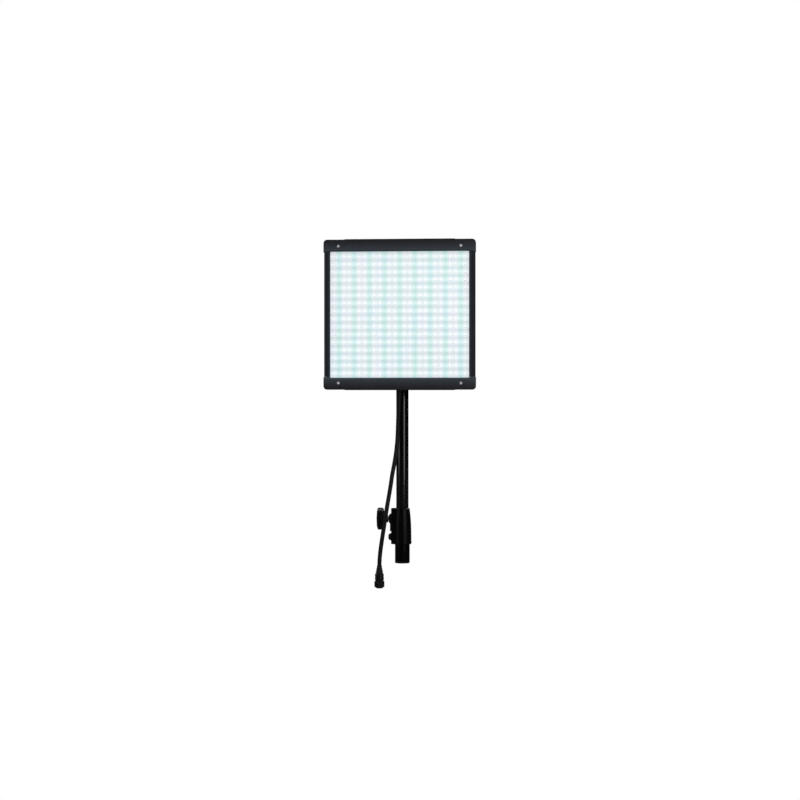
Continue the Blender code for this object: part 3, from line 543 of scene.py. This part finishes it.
def end_bar(name, node, side):
    """An end bar: round outer edges, and a lip that slopes back towards the lit window."""
    lip, lip_depth, edge, rear_edge = 0.0030, 0.0022, 0.0012, 0.0006
    depth = BACK - FRONT
    levels = [(edge * (1 - math.cos(a)), edge * (1 - math.sin(a)))
              for a in (math.radians(d) for d in (0, 22, 45, 68, 90))]
    levels += [(lip_depth, 0.0), (depth - rear_edge, 0.0), (depth, rear_edge)]
    bm = bmesh.new()
    rings = []
    for y, outer in levels:
        inner = lip * max(0.0, 1 - y / lip_depth)
        rings.append([bm.verts.new((x, FRONT + y, z)) for x, z in bar_outline(side, outer, inner)])
    for a, b in zip(rings, rings[1:]):
        for i in range(len(a)):
            j = (i + 1) % len(a)
            bm.faces.new((a[i], a[j], b[j], b[i]))
    bm.faces.new(rings[0])
    bm.faces.new(rings[-1])
    pocket_half, skin = 0.144, 0.005
    pocket = sorted((PANEL_Z + side * 0.110, PANEL_Z + side * 0.1395))
    tools = [("-", cuboid((-pocket_half, FRONT + skin, pocket[0]), (pocket_half, BACK + 0.005, pocket[1])))]
    sink, sink_radius, bore = 0.0019, 0.0032, 0.0018
    hole = [(0, -0.01), (sink_radius, -0.01), (sink_radius, sink), (bore, sink), (bore, 0.006), (0, 0.006)]
    for n in (1, 2) if side > 0 else (3, 4):
        at = middle(f"front_screw_{n}")
        tools.append(("-", turned(hole, "Y", (at.x, FRONT, at.z), 48, edge=0)))
    piece(name, combined(bm, *tools), BAR_PAINT, "panel", [node], 30)


def side_rail(name, node, side):
    """An extruded rail: a sloped outer edge in front, and a groove down its outer side."""
    outer, front, gap = RAIL_OUTER, RAIL_FRONT, 0.0003
    wall, shelf, groove = outer - 0.0048, FRONT + 0.005, outer - 0.0010
    section = [
        (RAIL_INNER, front + 0.0012),
        (RAIL_INNER + 0.0010, front),
        (outer - 0.0044, front),
        (outer - 0.0014, front + 0.0018),
        (outer, front + 0.0044),
        (outer, front + 0.0075),
        (groove, front + 0.0082),
        (groove, front + 0.0112),
        (outer, front + 0.0119),
        (outer, BACK - gap),
        (wall, BACK - gap),
        (wall, shelf),
        (RAIL_INNER, shelf),
    ]
    points = [(side * x, y) for x, y in fillet(section, 0.0004)]
    reach = BAR_INNER - BAR_LAP - gap
    bm = slab(points, "Z", PANEL_Z - reach, PANEL_Z + reach)
    piece(name, bm, RAIL_FINISH, "panel", [node], 30)


def sheet_piece(name, node, material, radius=0.002):
    """A flat sheet of the stack with round corners, where its CAD node is."""
    a, b = low(node), high(node)
    c = (a + b) / 2
    outline = rectangle((b.x - a.x) / 2, (b.z - a.z) / 2, radius, (c.x, c.z))
    piece(name, slab(outline, "Y", a.y, b.y, 0.0003, 2), material, "panel", [node])


def led_places():
    """Centres of the LEDs: pairs of columns a pitch apart, with half a pair at each side."""
    right = sorted((k + 0.5) * PAIR_PITCH + half for k in range(COLUMNS // 2)
                   for half in (-PAIR_GAP / 2, PAIR_GAP / 2))[:COLUMNS // 2]
    columns = sorted([-x for x in right] + right)
    rows = [(k - (ROWS - 1) / 2) * ROW_PITCH for k in range(ROWS)]
    return [(x, PANEL_Z + z) for z in rows for x in columns]


def leds():
    """The LED packages: a white frame with a raised rim, and the glowing phosphor in it."""
    face = low("led_board").y
    frames, glows = bmesh.new(), bmesh.new()

    def block(bm, x, z, rings):
        loops = []
        for half, corner, depth in rings:
            outline = rectangle(half, half, corner, (x, z), 2)
            loops.append([bm.verts.new((px, face - depth, pz)) for px, pz in outline])
        for a, b in zip(loops, loops[1:]):
            for i in range(len(a)):
                j = (i + 1) % len(a)
                bm.faces.new((a[i], a[j], b[j], b[i]))
        bm.faces.new(loops[0])
        bm.faces.new(loops[-1])

    for x, z in led_places():
        block(frames, x, z, [(0.0026, 0.0003, -0.0002), (0.0026, 0.0003, 0.0011), (0.0025, 0.0003, 0.0013),
                             (0.00215, 0.0008, 0.0013), (0.0019, 0.0008, 0.0009)])
        block(glows, x, z, [(0.0018, 0.0008, 0.0007), (0.0018, 0.0008, 0.0012), (0.0013, 0.0008, 0.0014)])
    piece("led_packages", frames, PACKAGE, "panel")
    piece("led_phosphors", glows, PHOSPHOR, "panel")


def cross_screw(name, node, material, outward, head, height):
    """A pan-head screw with a cross recess. outward is the way its head looks, 1 or -1 along Y."""
    c = middle(node)
    tip, end = (low(node).y, high(node).y) if outward < 0 else (high(node).y, low(node).y)
    under = tip - outward * height
    shank = 0.0015
    dome = ((0, 1), (0.30, 0.96), (0.60, 0.80), (0.84, 0.50), (0.97, 0.20), (1, 0))
    profile = [(head * r, outward * height * h) for r, h in dome]
    profile += [(shank, 0), (shank, end - under), (0, end - under)]
    screw = turned(profile, "Y", (c.x, under, c.z), 48, edge=0.0001)
    arm, wide, depth = head * 0.42, head * 0.13, height * 0.70
    y0, y1 = sorted((tip + outward * 0.001, tip - outward * depth))
    cross = [("-", cuboid((c.x - x, y0, c.z - z), (c.x + x, y1, c.z + z)))
             for x, z in ((arm, wide), (wide, arm))]
    piece(name, combined(screw, *cross), material, "panel", [node])


def hexagon(radius, centre, first=0):
    """A hexagon's corners, the first at an angle in degrees."""
    return [(centre[0] + radius * math.cos(a), centre[1] + radius * math.sin(a))
            for a in (math.radians(60 * i + first) for i in range(6))]


def socket_screw(name, node, axis, sign, head, height, shank, length, socket):
    """A cylinder-head screw with a hexagon socket. sign is the way its head looks along the axis."""
    k = "XYZ".index(axis)
    tip = (low(node) if sign < 0 else high(node))[k]
    centre = middle(node)
    centre[k] = tip
    s = -sign
    profile = [
        (0, 0), (head * 0.88, 0), (head, s * 0.0006), (head, s * height), (shank, s * height),
        (shank, s * (height + length)), (0, s * (height + length)),
    ]
    base = turned(profile, axis, centre, 64, edge=0.00025)
    outline = hexagon(socket, [centre[j] for j in range(3) if j != k], 30)
    hole = slab(outline, axis, tip + sign * 0.001, tip - sign * height * 0.6)
    piece(name, combined(base, ("-", hole)), BLACK_OXIDE, "panel", [node])


def panel():
    end_bar("top_end_bar", "top_bar", 1)
    end_bar("bottom_end_bar", "bottom_bar", -1)
    side_rail("left_rail", "side_rail_left", -1)
    side_rail("right_rail", "side_rail_right", 1)
    sheet_piece("prism_front", "front_diffuser", SHEET)
    sheet_piece("led_board_face", "led_board", LIT_BOARD, 0.003)
    leds()
    for n in range(1, 5):
        cross_screw(f"bar_screw_{n}", f"front_screw_{n}", ZINC, -1, 0.0029, 0.0012)
    for n in range(1, 7):
        cross_screw(f"cover_fixing_{n}", f"cover_screw_{n}", BLACK_OXIDE, 1, 0.0028, 0.0014)


# ---- rear hub and bracket -------------------------------------------------------------------

def hub():
    """The rear housing: a round-edged shell with cooling slots, screw holes and the gland's hole."""
    a, b = low("hub_housing"), high("hub_housing")
    c = (a + b) / 2
    half, corner, wall, gland_radius = (b.x - a.x) / 2, 0.007, 0.002, 0.0053
    shell = slab(rectangle(half, half, corner, (c.x, c.z), 8), "Y", a.y, b.y)
    rim = [e for e in shell.edges if all(abs(v.co.y - b.y) < 1e-6 for v in e.verts)]
    bmesh.ops.bevel(shell, geom=rim, offset=0.0028, segments=5, profile=0.5, affect="EDGES")
    inside = rectangle(half - wall, half - wall, corner - wall, (c.x, c.z), 6)
    tools = [("-", slab(inside, "Y", a.y - 0.01, b.y - wall)),
             ("-", rod(gland_radius, a.z - 0.01, a.z + 0.01, "Z", (0, CORD_Y, 0)))]
    for n in range(1, 5):
        s = middle(f"mount_screw_{n}")
        tools.append(("-", rod(MOUNT_BORE, b.y - 0.006, b.y + 0.01, "Y", (s.x, 0, s.z))))
    for side in (-1, 1):  # cooling slots beside the bracket
        for k in range(7):
            z = PANEL_Z + (k - 3) * 0.0075
            slot = rectangle(0.0052, 0.0011, 0.0010, (side * 0.0405, z), 4)
            tools.append(("-", slab(slot, "Y", b.y - 0.004, b.y + 0.004)))
    piece("hub_shell", combined(shell, *tools), COVER_PAINT, "panel", ["hub_housing"])


def bracket():
    """The two-eared tilt bracket with its screws, tilt bolt and friction washers."""
    a, b = low("mount_bracket"), high("mount_bracket")
    plate_back = a.y + 0.0045
    half_x, half_z = b.x, (b.z - a.z) / 2
    plate = slab(rectangle(half_x, half_z, 0.005, (0, PANEL_Z), 6), "Y", a.y, plate_back, 0.0010)
    root, root_half = a.y + 0.002, 0.025  # where an ear grows from the plate
    ear_inner, ear_outer, ear_radius = 0.0107, 0.0182, 0.015
    round_end = arc((0, PANEL_Z), ear_radius, -108, 108, 36)
    ear = [(root, PANEL_Z - root_half), *round_end, (root, PANEL_Z + root_half)]
    tools = [("+", slab(ear, "X", x0, x1, 0.0008, 2))
             for x0, x1 in ((-ear_outer, -ear_inner), (ear_inner, ear_outer))]
    near, half_gap = -0.034, 0.011  # the opening that lightens the ears
    opening = [(near, PANEL_Z - half_gap), *arc((-0.0235, PANEL_Z), 0.005, -70, 70, 8),
               (near, PANEL_Z + half_gap)]
    tools.append(("-", slab(fillet(opening, 0.002, 4), "X", -0.03, 0.03)))
    tools.append(("-", rod(BOLT_BORE, -0.03, 0.03, "X", TILT)))
    for n in range(1, 5):
        s = middle(f"mount_screw_{n}")
        tools.append(("-", rod(MOUNT_BORE, a.y - 0.01, plate_back + 0.01, "Y", (s.x, 0, s.z))))
    piece("tilt_bracket", combined(plate, *tools), CASTING, "panel", ["mount_bracket"])
    for n in range(1, 5):
        socket_screw(f"bracket_screw_{n}", f"mount_screw_{n}", "Y", 1, 0.0040, 0.0026, 0.0020, 0.0155, 0.0020)
    socket_screw("tilt_pin", "tilt_bolt", "X", -1, 0.0072, 0.0055, 0.0040, 0.0510, 0.0036)
    for n in (1, 2):
        a, b = low(f"friction_washer_{n}"), high(f"friction_washer_{n}")
        ring = [(BOLT_BORE, a.x), (0.013, a.x), (0.013, b.x), (BOLT_BORE, b.x)]
        piece(f"washer_{n}", turned(ring, "X", TILT, 72, edge=0.0002), NYLON, "panel",
              [f"friction_washer_{n}"])


def lever():
    """The clamping lever: a round hub on the tilt bolt's end, and a blade that leans from it."""
    start, end = low("tilt_lever").x, high("tilt_lever").x
    cap = end - 0.0026
    hub_profile = [(BOLT_BORE, start), (0.0085, start), (0.0095, start + 0.003), (0.0095, end - 0.002),
                   (0.0075, end), (0, end), (0, cap), (BOLT_BORE, cap)]
    base = turned(hub_profile, "X", TILT, 72, edge=0.0005)
    lean, length = 55, 0.040
    tip = arc((0, PANEL_Z), length, lean, lean, 1)[0]
    arm = arc((0, PANEL_Z), 0.0075, lean + 90, lean + 270, 20) + arc(tip, 0.0050, lean - 90, lean + 90, 16)
    blade = slab(arm, "X", 0.0275, 0.0335, 0.0018, 4)
    core = rod(0.0052, 0.02, 0.0339, "X", TILT)
    piece("clamp_lever", combined(base, ("+", combined(blade, ("-", core)))), KNOB_PLASTIC, "lever",
          ["tilt_lever"])


# ---- receiver and knobs ---------------------------------------------------------------------

def lobed(depth, count, from_radius):
    """Finger grips round a knob, on the part of it wider than from_radius."""
    def radius(r, angle):
        if r < from_radius:
            return r
        return r - depth * (0.5 - 0.5 * math.cos(count * angle)) ** 2
    return radius


def knob(name, prefix, axis, sign, centre, neck, radius, hub_length, disc, body):
    """A moulded knob with finger grips, a tapered hub and a dished face, on its stud.

    neck is the hub's start, from centre along the axis; hub_length and disc are its two parts' lengths.
    """
    stud_radius = 0.0043
    face = neck + hub_length
    stud_end = face + disc * 0.35 + 0.0003
    profile = [
        (0, stud_end),
        (stud_radius, stud_end),
        (stud_radius, neck),
        (radius * 0.32, neck),
        (radius * 0.36, neck + hub_length * 0.35),
        (radius * 0.52, face - 0.0002),
        (radius * 0.90, face + 0.0002),
        (radius, face + disc * 0.16),
        (radius, face + disc * 0.78),
        (radius * 0.90, face + disc * 0.94),
        (radius * 0.60, face + disc * 0.99),
        (radius * 0.56, face + disc * 0.93),
        (radius * 0.45, face + disc * 0.97),
        (0, face + disc * 1.04),
    ]
    grips = lobed(radius * 0.07, 8, radius * 0.8)
    bm = turned([(r, sign * h) for r, h in profile], axis, centre, 160, grips, edge=radius * 0.05)
    piece(name, bm, KNOB_PLASTIC, body, [prefix + "_knob"], 40)
    assign(prefix + "_stud", ZINC)
    assign(prefix + "_pad", BRASS)


def assign(node, material):
    """Gives a CAD node that stays a better material."""
    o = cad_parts[node]
    o.data.materials.clear()
    o.data.materials.append(material)


def receiver():
    """The socket on the column's stud: a waisted barrel, a boss for its knob, and the tilt tongue."""
    a, b = low("receiver_body"), high("receiver_body")
    r, top, lock_z = b.x, 0.462, middle("receiver_pad").z
    waist, tongue_half, tongue_radius, socket_radius, socket_top = r - 0.0008, 0.0087, 0.014, 0.0083, 0.4563
    profile = [(0, a.z), (r - 0.0015, a.z), (r, a.z + 0.0015), (r, a.z + 0.006), (waist, a.z + 0.0068),
               (waist, top - 0.012), (r, top - 0.011), (r, top - 0.006), (r - 0.005, top), (0, top)]
    tongue = [(0.0115, top - 0.004), *arc((0, PANEL_Z), tongue_radius, 0, 180, 28), (-0.0115, top - 0.004)]
    boss = [(0, 0.010), (0.0088, 0.010), (0.0085, b.y - 0.001), (0.0078, b.y), (0, b.y)]
    bm = combined(
        turned(profile, steps=96, edge=0.0006),
        ("+", slab(tongue, "X", -tongue_half, tongue_half, 0.0006, 2)),
        ("+", turned(boss, "Y", (0, 0, lock_z), 64)),
        ("-", rod(socket_radius, a.z - 0.01, socket_top, "Z", steps=64)),
        ("-", rod(BOLT_BORE, 0, 0.04, "Y", (0, 0, lock_z))),
        ("-", rod(BOLT_BORE, -0.03, 0.03, "X", TILT)),
    )
    piece("receiver_casting", bm, CASTING, "receiver", ["receiver_body"])
    knob("stud_lock_knob", "receiver", "Y", 1, (0, 0, lock_z), 0.0240, 0.0145, 0.007, 0.010, "receiver_screw")


# ---- column ---------------------------------------------------------------------------------

def tube(name, node, radius, wall, body, paint):
    """A column tube with softened ends."""
    a, b = low(node).z, high(node).z
    profile = [(radius - wall, a), (radius, a), (radius, b), (radius - wall, b)]
    piece(name, turned(profile, steps=128, edge=0.0004), paint, body, [node])


def column():
    """The two tubes, the plug in the lower one's end, and the grooved stud on the upper one."""
    tube("upper_column_tube", "upper_tube", UPPER_RADIUS, 0.0015, "riser", TUBE_PAINT)
    tube("lower_column_tube", "lower_tube", LOWER_RADIUS, 0.0019, "column", LOWER_PAINT)
    a, b = low("end_plug").z, high("end_plug").z
    bore, flange, bevel = LOWER_RADIUS - 0.0022, 0.0030, 0.0006
    plug = [(0, a), (LOWER_RADIUS - bevel, a), (LOWER_RADIUS, a + bevel), (LOWER_RADIUS, flange),
            (bore, flange), (bore, b), (0, b)]
    piece("lower_plug", turned(plug, steps=96, edge=0.0002), NYLON, "column", ["end_plug"])

    top, lock_z = high("upper_tube").z, middle("receiver_pad").z
    start, end = low("column_stud").z, high("column_stud").z
    bore, r, groove = UPPER_RADIUS - 0.0018, 0.008, 0.0068
    stud = [(0, start), (bore, start), (bore, top + 0.0003),
            (UPPER_RADIUS, top + 0.0003), (UPPER_RADIUS, top + 0.0030), (UPPER_RADIUS - 0.001, top + 0.0040),
            (r, top + 0.0040), (r, lock_z - 0.0065), (groove, lock_z - 0.005), (groove, lock_z + 0.005),
            (r, lock_z + 0.0065), (r, end - 0.0015), (r - 0.0015, end), (0, end)]
    piece("top_stud", turned(stud, steps=96, edge=0.0004), STUD_STEEL, "riser", ["column_stud"])


def collar():
    """The casting that joins the tubes: a tapered sleeve with a clamp block on its left."""
    z0, z1 = low("collar_body").z, high("collar_body").z
    block_face, block_half = low("collar_body").x, 0.011
    lock_z, bolt_z = middle("lock_pad").z, middle("clamp_bolt").z
    bottom_radius, top_radius = 0.0182, 0.0146

    def r(z):
        return bottom_radius + (top_radius - bottom_radius) * ((z - z0) / (z1 - z0)) ** 3

    swell = [z0 + 0.0060 + (z1 - z0 - 0.0076) * k / 12 for k in range(13)]
    profile = [(0, z0), (r(z0) - 0.002, z0), (r(z0) - 0.0004, z0 + 0.0008), (r(z0) + 0.0004, z0 + 0.0026),
               (r(z0) + 0.0004, z0 + 0.0052), *[(r(z), z) for z in swell], (r(z1) - 0.0012, z1), (0, z1)]
    sleeve = turned(profile, steps=128, edge=0.0004)
    inner = -0.002
    section = [(block_face, -block_half), (inner, -block_half), (inner, block_half), (block_face, block_half)]
    block = slab(fillet(section, 0.0030, 5), "Z", z0 + 0.0008, z1 - 0.0004, 0.0014, 3)
    fit, slit = 0.0003, 0.0012
    step = high("lower_tube").z + fit
    bush_length, bush_radius = 0.018, 0.0138
    lower, wide, slip = LOWER_RADIUS + fit, bush_radius + fit, UPPER_RADIUS + 0.0004
    shoulder = step + bush_length + fit
    bore = [(0, z0 - 0.01), (lower, z0 - 0.01), (lower, step), (wide, step),
            (wide, shoulder), (slip, shoulder), (slip, z1 + 0.01), (0, z1 + 0.01)]
    bm = combined(
        sleeve,
        ("+", block),
        ("-", turned(bore, steps=96, edge=0)),
        ("-", cuboid((block_face - 0.01, -0.02, step), (block_face + 0.006, 0.02, step + slit))),
        ("-", rod(BOLT_BORE, -0.04, 0, "X", (0, 0, lock_z))),
        ("-", rod(0.0033, -0.04, -0.0142, "X", (0, 0, bolt_z))),
    )
    piece("collar_casting", bm, CASTING, "column", ["collar_body"], 28)

    bottom, top, bore = step + 0.0002, step + bush_length, UPPER_RADIUS + fit
    ring = [(bore, bottom), (bush_radius, bottom), (bush_radius, top), (bore, top)]
    piece("collar_bush", turned(ring, steps=96, edge=0.0002), NYLON, "column",
          ["collar_sleeve"])

    a, b = low("face_plate"), high("face_plate")
    outline = rectangle((b.y - a.y) / 2, (b.z - a.z) / 2, 0.002, (0, (a.z + b.z) / 2))
    plate = combined(slab(outline, "X", a.x, b.x, 0.0003, 2),
                     ("-", rod(0.0066, -0.04, 0, "X", (0, 0, lock_z))))
    piece("block_plate", plate, BLACK_OXIDE, "column", ["face_plate"])

    face, tip = high("knob_boss").x, low("knob_boss").x
    boss = [(BOLT_BORE, 0), (0.0063, 0), (0.0063, -0.0021), (0.0098, -0.0021), (0.0094, -0.0035),
            (0.0070, tip - face), (BOLT_BORE, tip - face)]
    piece("threaded_boss", turned(boss, "X", (face, 0, lock_z), 72, edge=0.0004), BLACK_OXIDE, "column",
          ["knob_boss"])

    socket = slab(hexagon(0.0026, (0, bolt_z)), "X", face - 0.010, face - 0.0030)
    domed = [(0, -0.0056), (0.0036, -0.0056), (0.0052, -0.0048), (0.0066, -0.0032), (0.0074, -0.0014),
             (0.0075, 0), (0.0029, 0), (0.0029, 0.0070), (0, 0.0070)]
    bolt = combined(turned(domed, "X", (face, 0, bolt_z), 72, edge=0.0003), ("-", socket))
    piece("collar_bolt", bolt, BLACK_OXIDE, "column", ["clamp_bolt"])
    knob("collar_knob", "lock", "X", -1, (0, 0, lock_z), 0.0287, high("lock_knob").z - lock_z, 0.0090, 0.0136,
         "lock_screw")


# ---- lead -----------------------------------------------------------------------------------

def smooth_route(route, step):
    """Evenly spaced points on a smooth curve through the route's own points."""
    p = [Vector(q) for q in route]
    p = [2 * p[0] - p[1], *p, 2 * p[-1] - p[-2]]
    fine = []
    for a, b, c, d in zip(p, p[1:], p[2:], p[3:]):
        for i in range(20):
            t = i / 20
            fine.append(0.5 * (2 * b + (c - a) * t + (2 * a - 5 * b + 4 * c - d) * t * t
                               + (3 * b - a - 3 * c + d) * t ** 3))
    fine.append(p[-2])
    travelled = [0.0]
    for a, b in zip(fine, fine[1:]):
        travelled.append(travelled[-1] + (b - a).length)
    count = max(2, round(travelled[-1] / step))
    points, k = [], 0
    for i in range(count + 1):
        want = travelled[-1] * i / count
        while k < len(fine) - 2 and travelled[k + 1] < want:
            k += 1
        span = travelled[k + 1] - travelled[k]
        points.append(fine[k].lerp(fine[k + 1], (want - travelled[k]) / span if span else 0))
    return points, travelled[-1]


def tube_along(points, radius, steps=24):
    """A round tube through points, its rings turned as little as they can be, with closed ends."""
    bm = bmesh.new()
    rings = []
    side = Vector((1, 0, 0))
    for i, p in enumerate(points):
        along = (points[min(i + 1, len(points) - 1)] - points[max(i - 1, 0)]).normalized()
        side = (side - along * side.dot(along)).normalized()
        up = along.cross(side)
        ring = []
        for k in range(steps):
            a = 2 * math.pi * k / steps
            ring.append(bm.verts.new(p + (side * math.cos(a) + up * math.sin(a)) * radius))
        rings.append(ring)
    for a, b in zip(rings, rings[1:]):
        for i in range(steps):
            j = (i + 1) % steps
            bm.faces.new((a[i], a[j], b[j], b[i]))
    bm.faces.new(rings[0])
    bm.faces.new(rings[-1])
    return bm


def lead():
    """The hanging lead, its gland and strain relief, and the connector at its end."""
    points, length = smooth_route(CORD_ROUTE, 0.0045)
    cord = mesh_object("hanging_lead", tube_along(points, CORD_RADIUS), JACKET)
    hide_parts("power_cord")
    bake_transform(cord)

    at = (0, CORD_Y, 0)
    top, under = high("cord_gland").z, low("hub_housing").z - 0.0003
    thread, nut_radius, nut_end = 0.0050, 0.0068, under - 0.0062
    nut = [(0, top), (thread, top), (thread, under), (nut_radius, under), (nut_radius, nut_end + 0.0010),
           (nut_radius - 0.0008, nut_end), (0, nut_end)]
    flats = lobed(0.0006, 6, 0.0058)
    piece("gland_nut", turned(nut, "Z", at, 96, flats, 0.0003), BLACK_OXIDE, "panel",
          ["cord_gland"])

    tip, top = low("strain_relief").z, high("strain_relief").z
    neck = CORD_RADIUS + 0.0006
    sleeve = [(0, top), (0.0060, top), (0.0060, top - 0.004)]
    ribs, start = 7, top - 0.005
    for k in range(ribs):  # segments that let the sleeve bend
        t = k / ribs
        z = start + (tip - start) * t
        r = 0.0058 + (neck - 0.0057) * t
        sleeve += [(r, z), (r - 0.0001, z - 0.0018), (r - 0.0009, z - 0.0020), (r - 0.0009, z - 0.0027)]
    sleeve += [(neck - 0.0001, tip + 0.0006), (neck - 0.0003, tip), (0, tip)]
    relief = piece("lead_strain_relief", turned(sleeve, "Z", at, 64, edge=0.0001), BOOT, "panel",
                   ["strain_relief"])

    x, y, z = CORD_ROUTE[-1]
    end = (x, y, z - 0.0003)
    sleeve = [(0, 0), (neck, 0), (neck + 0.0002, -0.0008)]
    ribs = 4
    for k in range(ribs):
        t = k / ribs
        r, h = neck + 0.0003 + 0.0026 * t, -0.0016 - 0.0128 * t
        sleeve += [(r, h), (r + 0.0003, h - 0.0019), (r - 0.0005, h - 0.0021), (r - 0.0005, h - 0.0027)]
    sleeve += [(0.0072, -0.0146), (0.0078, -0.0152), (0.0078, -0.0160), (0, -0.0160)]
    boot = piece("connector_sleeve", turned(sleeve, "Z", end, 64, edge=0.0001), BOOT, "receiver",
                 ["connector_boot"])
    shell = [(0, -0.0163), (0.0080, -0.0163), (0.0088, -0.0171), (0.0088, -0.0210), (0.0084, -0.0214),
             (0.0084, -0.0222), (0.0088, -0.0226), (0.0088, -0.0290), (0.0073, -0.0303), (0.0073, -0.0440),
             (0.0066, -0.0446), (0.0058, -0.0446), (0.0058, -0.0390), (0, -0.0390)]
    body = piece("connector_shell", turned(shell, "Z", end, 96, edge=0.0003), BLACK_OXIDE, "receiver",
                 ["connector_body"])
    ring = [(0.0076, -0.0308), (0.0095, -0.0308), (0.0100, -0.0314), (0.0100, -0.0416), (0.0095, -0.0422),
            (0.0076, -0.0422)]
    knurl = lobed(0.0005, 28, 0.0097)
    coupling = piece("connector_collar", turned(ring, "Z", end, 224, knurl, 0.0003), BLACK_OXIDE,
                     "coupling_ring", ["connector_ring"])


def kept_nodes():
    """CAD nodes that show as they are, with their materials."""
    for node, material in {
        "spacer_frame": SPACER,
        "heat_spreader": SPREADER,
        "rear_cover": COVER_PAINT,
        "driver_board": CIRCUIT,
        "tube_end_bush": NYLON,
    }.items():
        assign(node, material)


# ---- stage ----------------------------------------------------------------------------------

def aim(o, target):
    """Turns a light or the camera to look at a point."""
    o.rotation_mode = "QUATERNION"
    o.rotation_quaternion = (Vector(target) - o.location).to_track_quat("-Z", "Y")


def soft_light(name, azimuth, height, distance, size, power):
    """An area light round the object. Azimuth 0 is in front of the panel, positive to its right."""
    light = bpy.data.lights.new(name, "AREA")
    light.shape = "RECTANGLE"
    light.size, light.size_y = size
    light.energy = power
    o = bpy.data.objects.new(name, light)
    a = math.radians(azimuth)
    o.location = (distance * math.sin(a), -distance * math.cos(a), height)
    bpy.context.scene.collection.objects.link(o)
    aim(o, (0, 0, 0.3))


def stage():
    """A pale floor well under the object, a white surround, and soft lights.

    Floor and surround are white as the camera sees them, and dimmer as light on the object.
    """
    floor = bmesh.new()
    bmesh.ops.create_circle(floor, cap_ends=True, radius=30, segments=96)
    o = mesh_object("floor", floor)
    o.location.z = FLOOR_Z
    n = Nodes("pale_floor", (0.12, 0.12, 0.12), 0.9)
    n.colour(n.blend(n.noise(0.6, 3), (0.11, 0.11, 0.11), (0.14, 0.14, 0.14)))
    seen = n.add("ShaderNodeEmission", {"Color": (1, 1, 1, 1), "Strength": 1.0})
    path = n.add("ShaderNodeLightPath")
    mix = n.add("ShaderNodeMixShader", {
        0: path.outputs["Is Camera Ray"], 1: n.shader.outputs[0], 2: seen.outputs[0]})
    n.tree.links.new(mix.outputs[0], n.tree.nodes["Material Output"].inputs["Surface"])
    o.data.materials.append(n.material)

    world = bpy.data.worlds.new("studio")
    bpy.context.scene.world = world
    world.use_nodes = True
    tree = world.node_tree
    tree.nodes.clear()
    out = tree.nodes.new("ShaderNodeOutputWorld")
    path = tree.nodes.new("ShaderNodeLightPath")

    def background(colour, strength):
        node = tree.nodes.new("ShaderNodeBackground")
        node.inputs["Color"].default_value = (*colour, 1)
        node.inputs["Strength"].default_value = strength
        return node.outputs[0]

    def choose(ray, other, wanted):
        node = tree.nodes.new("ShaderNodeMixShader")
        tree.links.new(path.outputs[ray], node.inputs[0])
        tree.links.new(other, node.inputs[1])
        tree.links.new(wanted, node.inputs[2])
        return node.outputs[0]

    fill = background((0.96, 0.98, 1.0), 0.56)
    dark = background((0.9, 0.95, 1.0), 0.004)
    white = background((1, 1, 1), 1.0)
    light = choose("Is Camera Ray", choose("Is Glossy Ray", fill, dark), white)
    tree.links.new(light, out.inputs[0])

    soft_light("key_right", 40, 0.95, 2.6, (1.0, 2.2), 15)
    soft_light("fill_left", -62, 0.98, 2.6, (1.4, 2.0), 9)
    soft_light("top", 0, 3.0, 1.2, (2.4, 2.4), 5)
    soft_light("rear_left", -150, 2.4, 2.4, (2.0, 1.4), 40)
    soft_light("rear_right", 150, 2.4, 2.4, (2.0, 1.4), 40)


def camera():
    """Straight on and level with the column's middle, a little to the right of the panel."""
    target = Vector((0.0013, FRONT, 0.3285))
    distance, aside, across, sensor = 3.0, 0.215, 1.5696, 36  # across is the width seen at the target
    data = bpy.data.cameras.new("camera")
    data.sensor_width = sensor
    data.lens = sensor * distance / across
    data.clip_start, data.clip_end = 0.05, 60
    o = bpy.data.objects.new("camera", data)
    o.location = target + Vector((aside, -math.sqrt(distance ** 2 - aside ** 2), 0))
    aim(o, target)
    bpy.context.scene.collection.objects.link(o)
    bpy.context.scene.camera = o


camera()
lead()
panel()
hub()
bracket()
lever()
receiver()
column()
collar()
kept_nodes()
stage()
bpy.context.scene.view_settings.view_transform = "Standard"
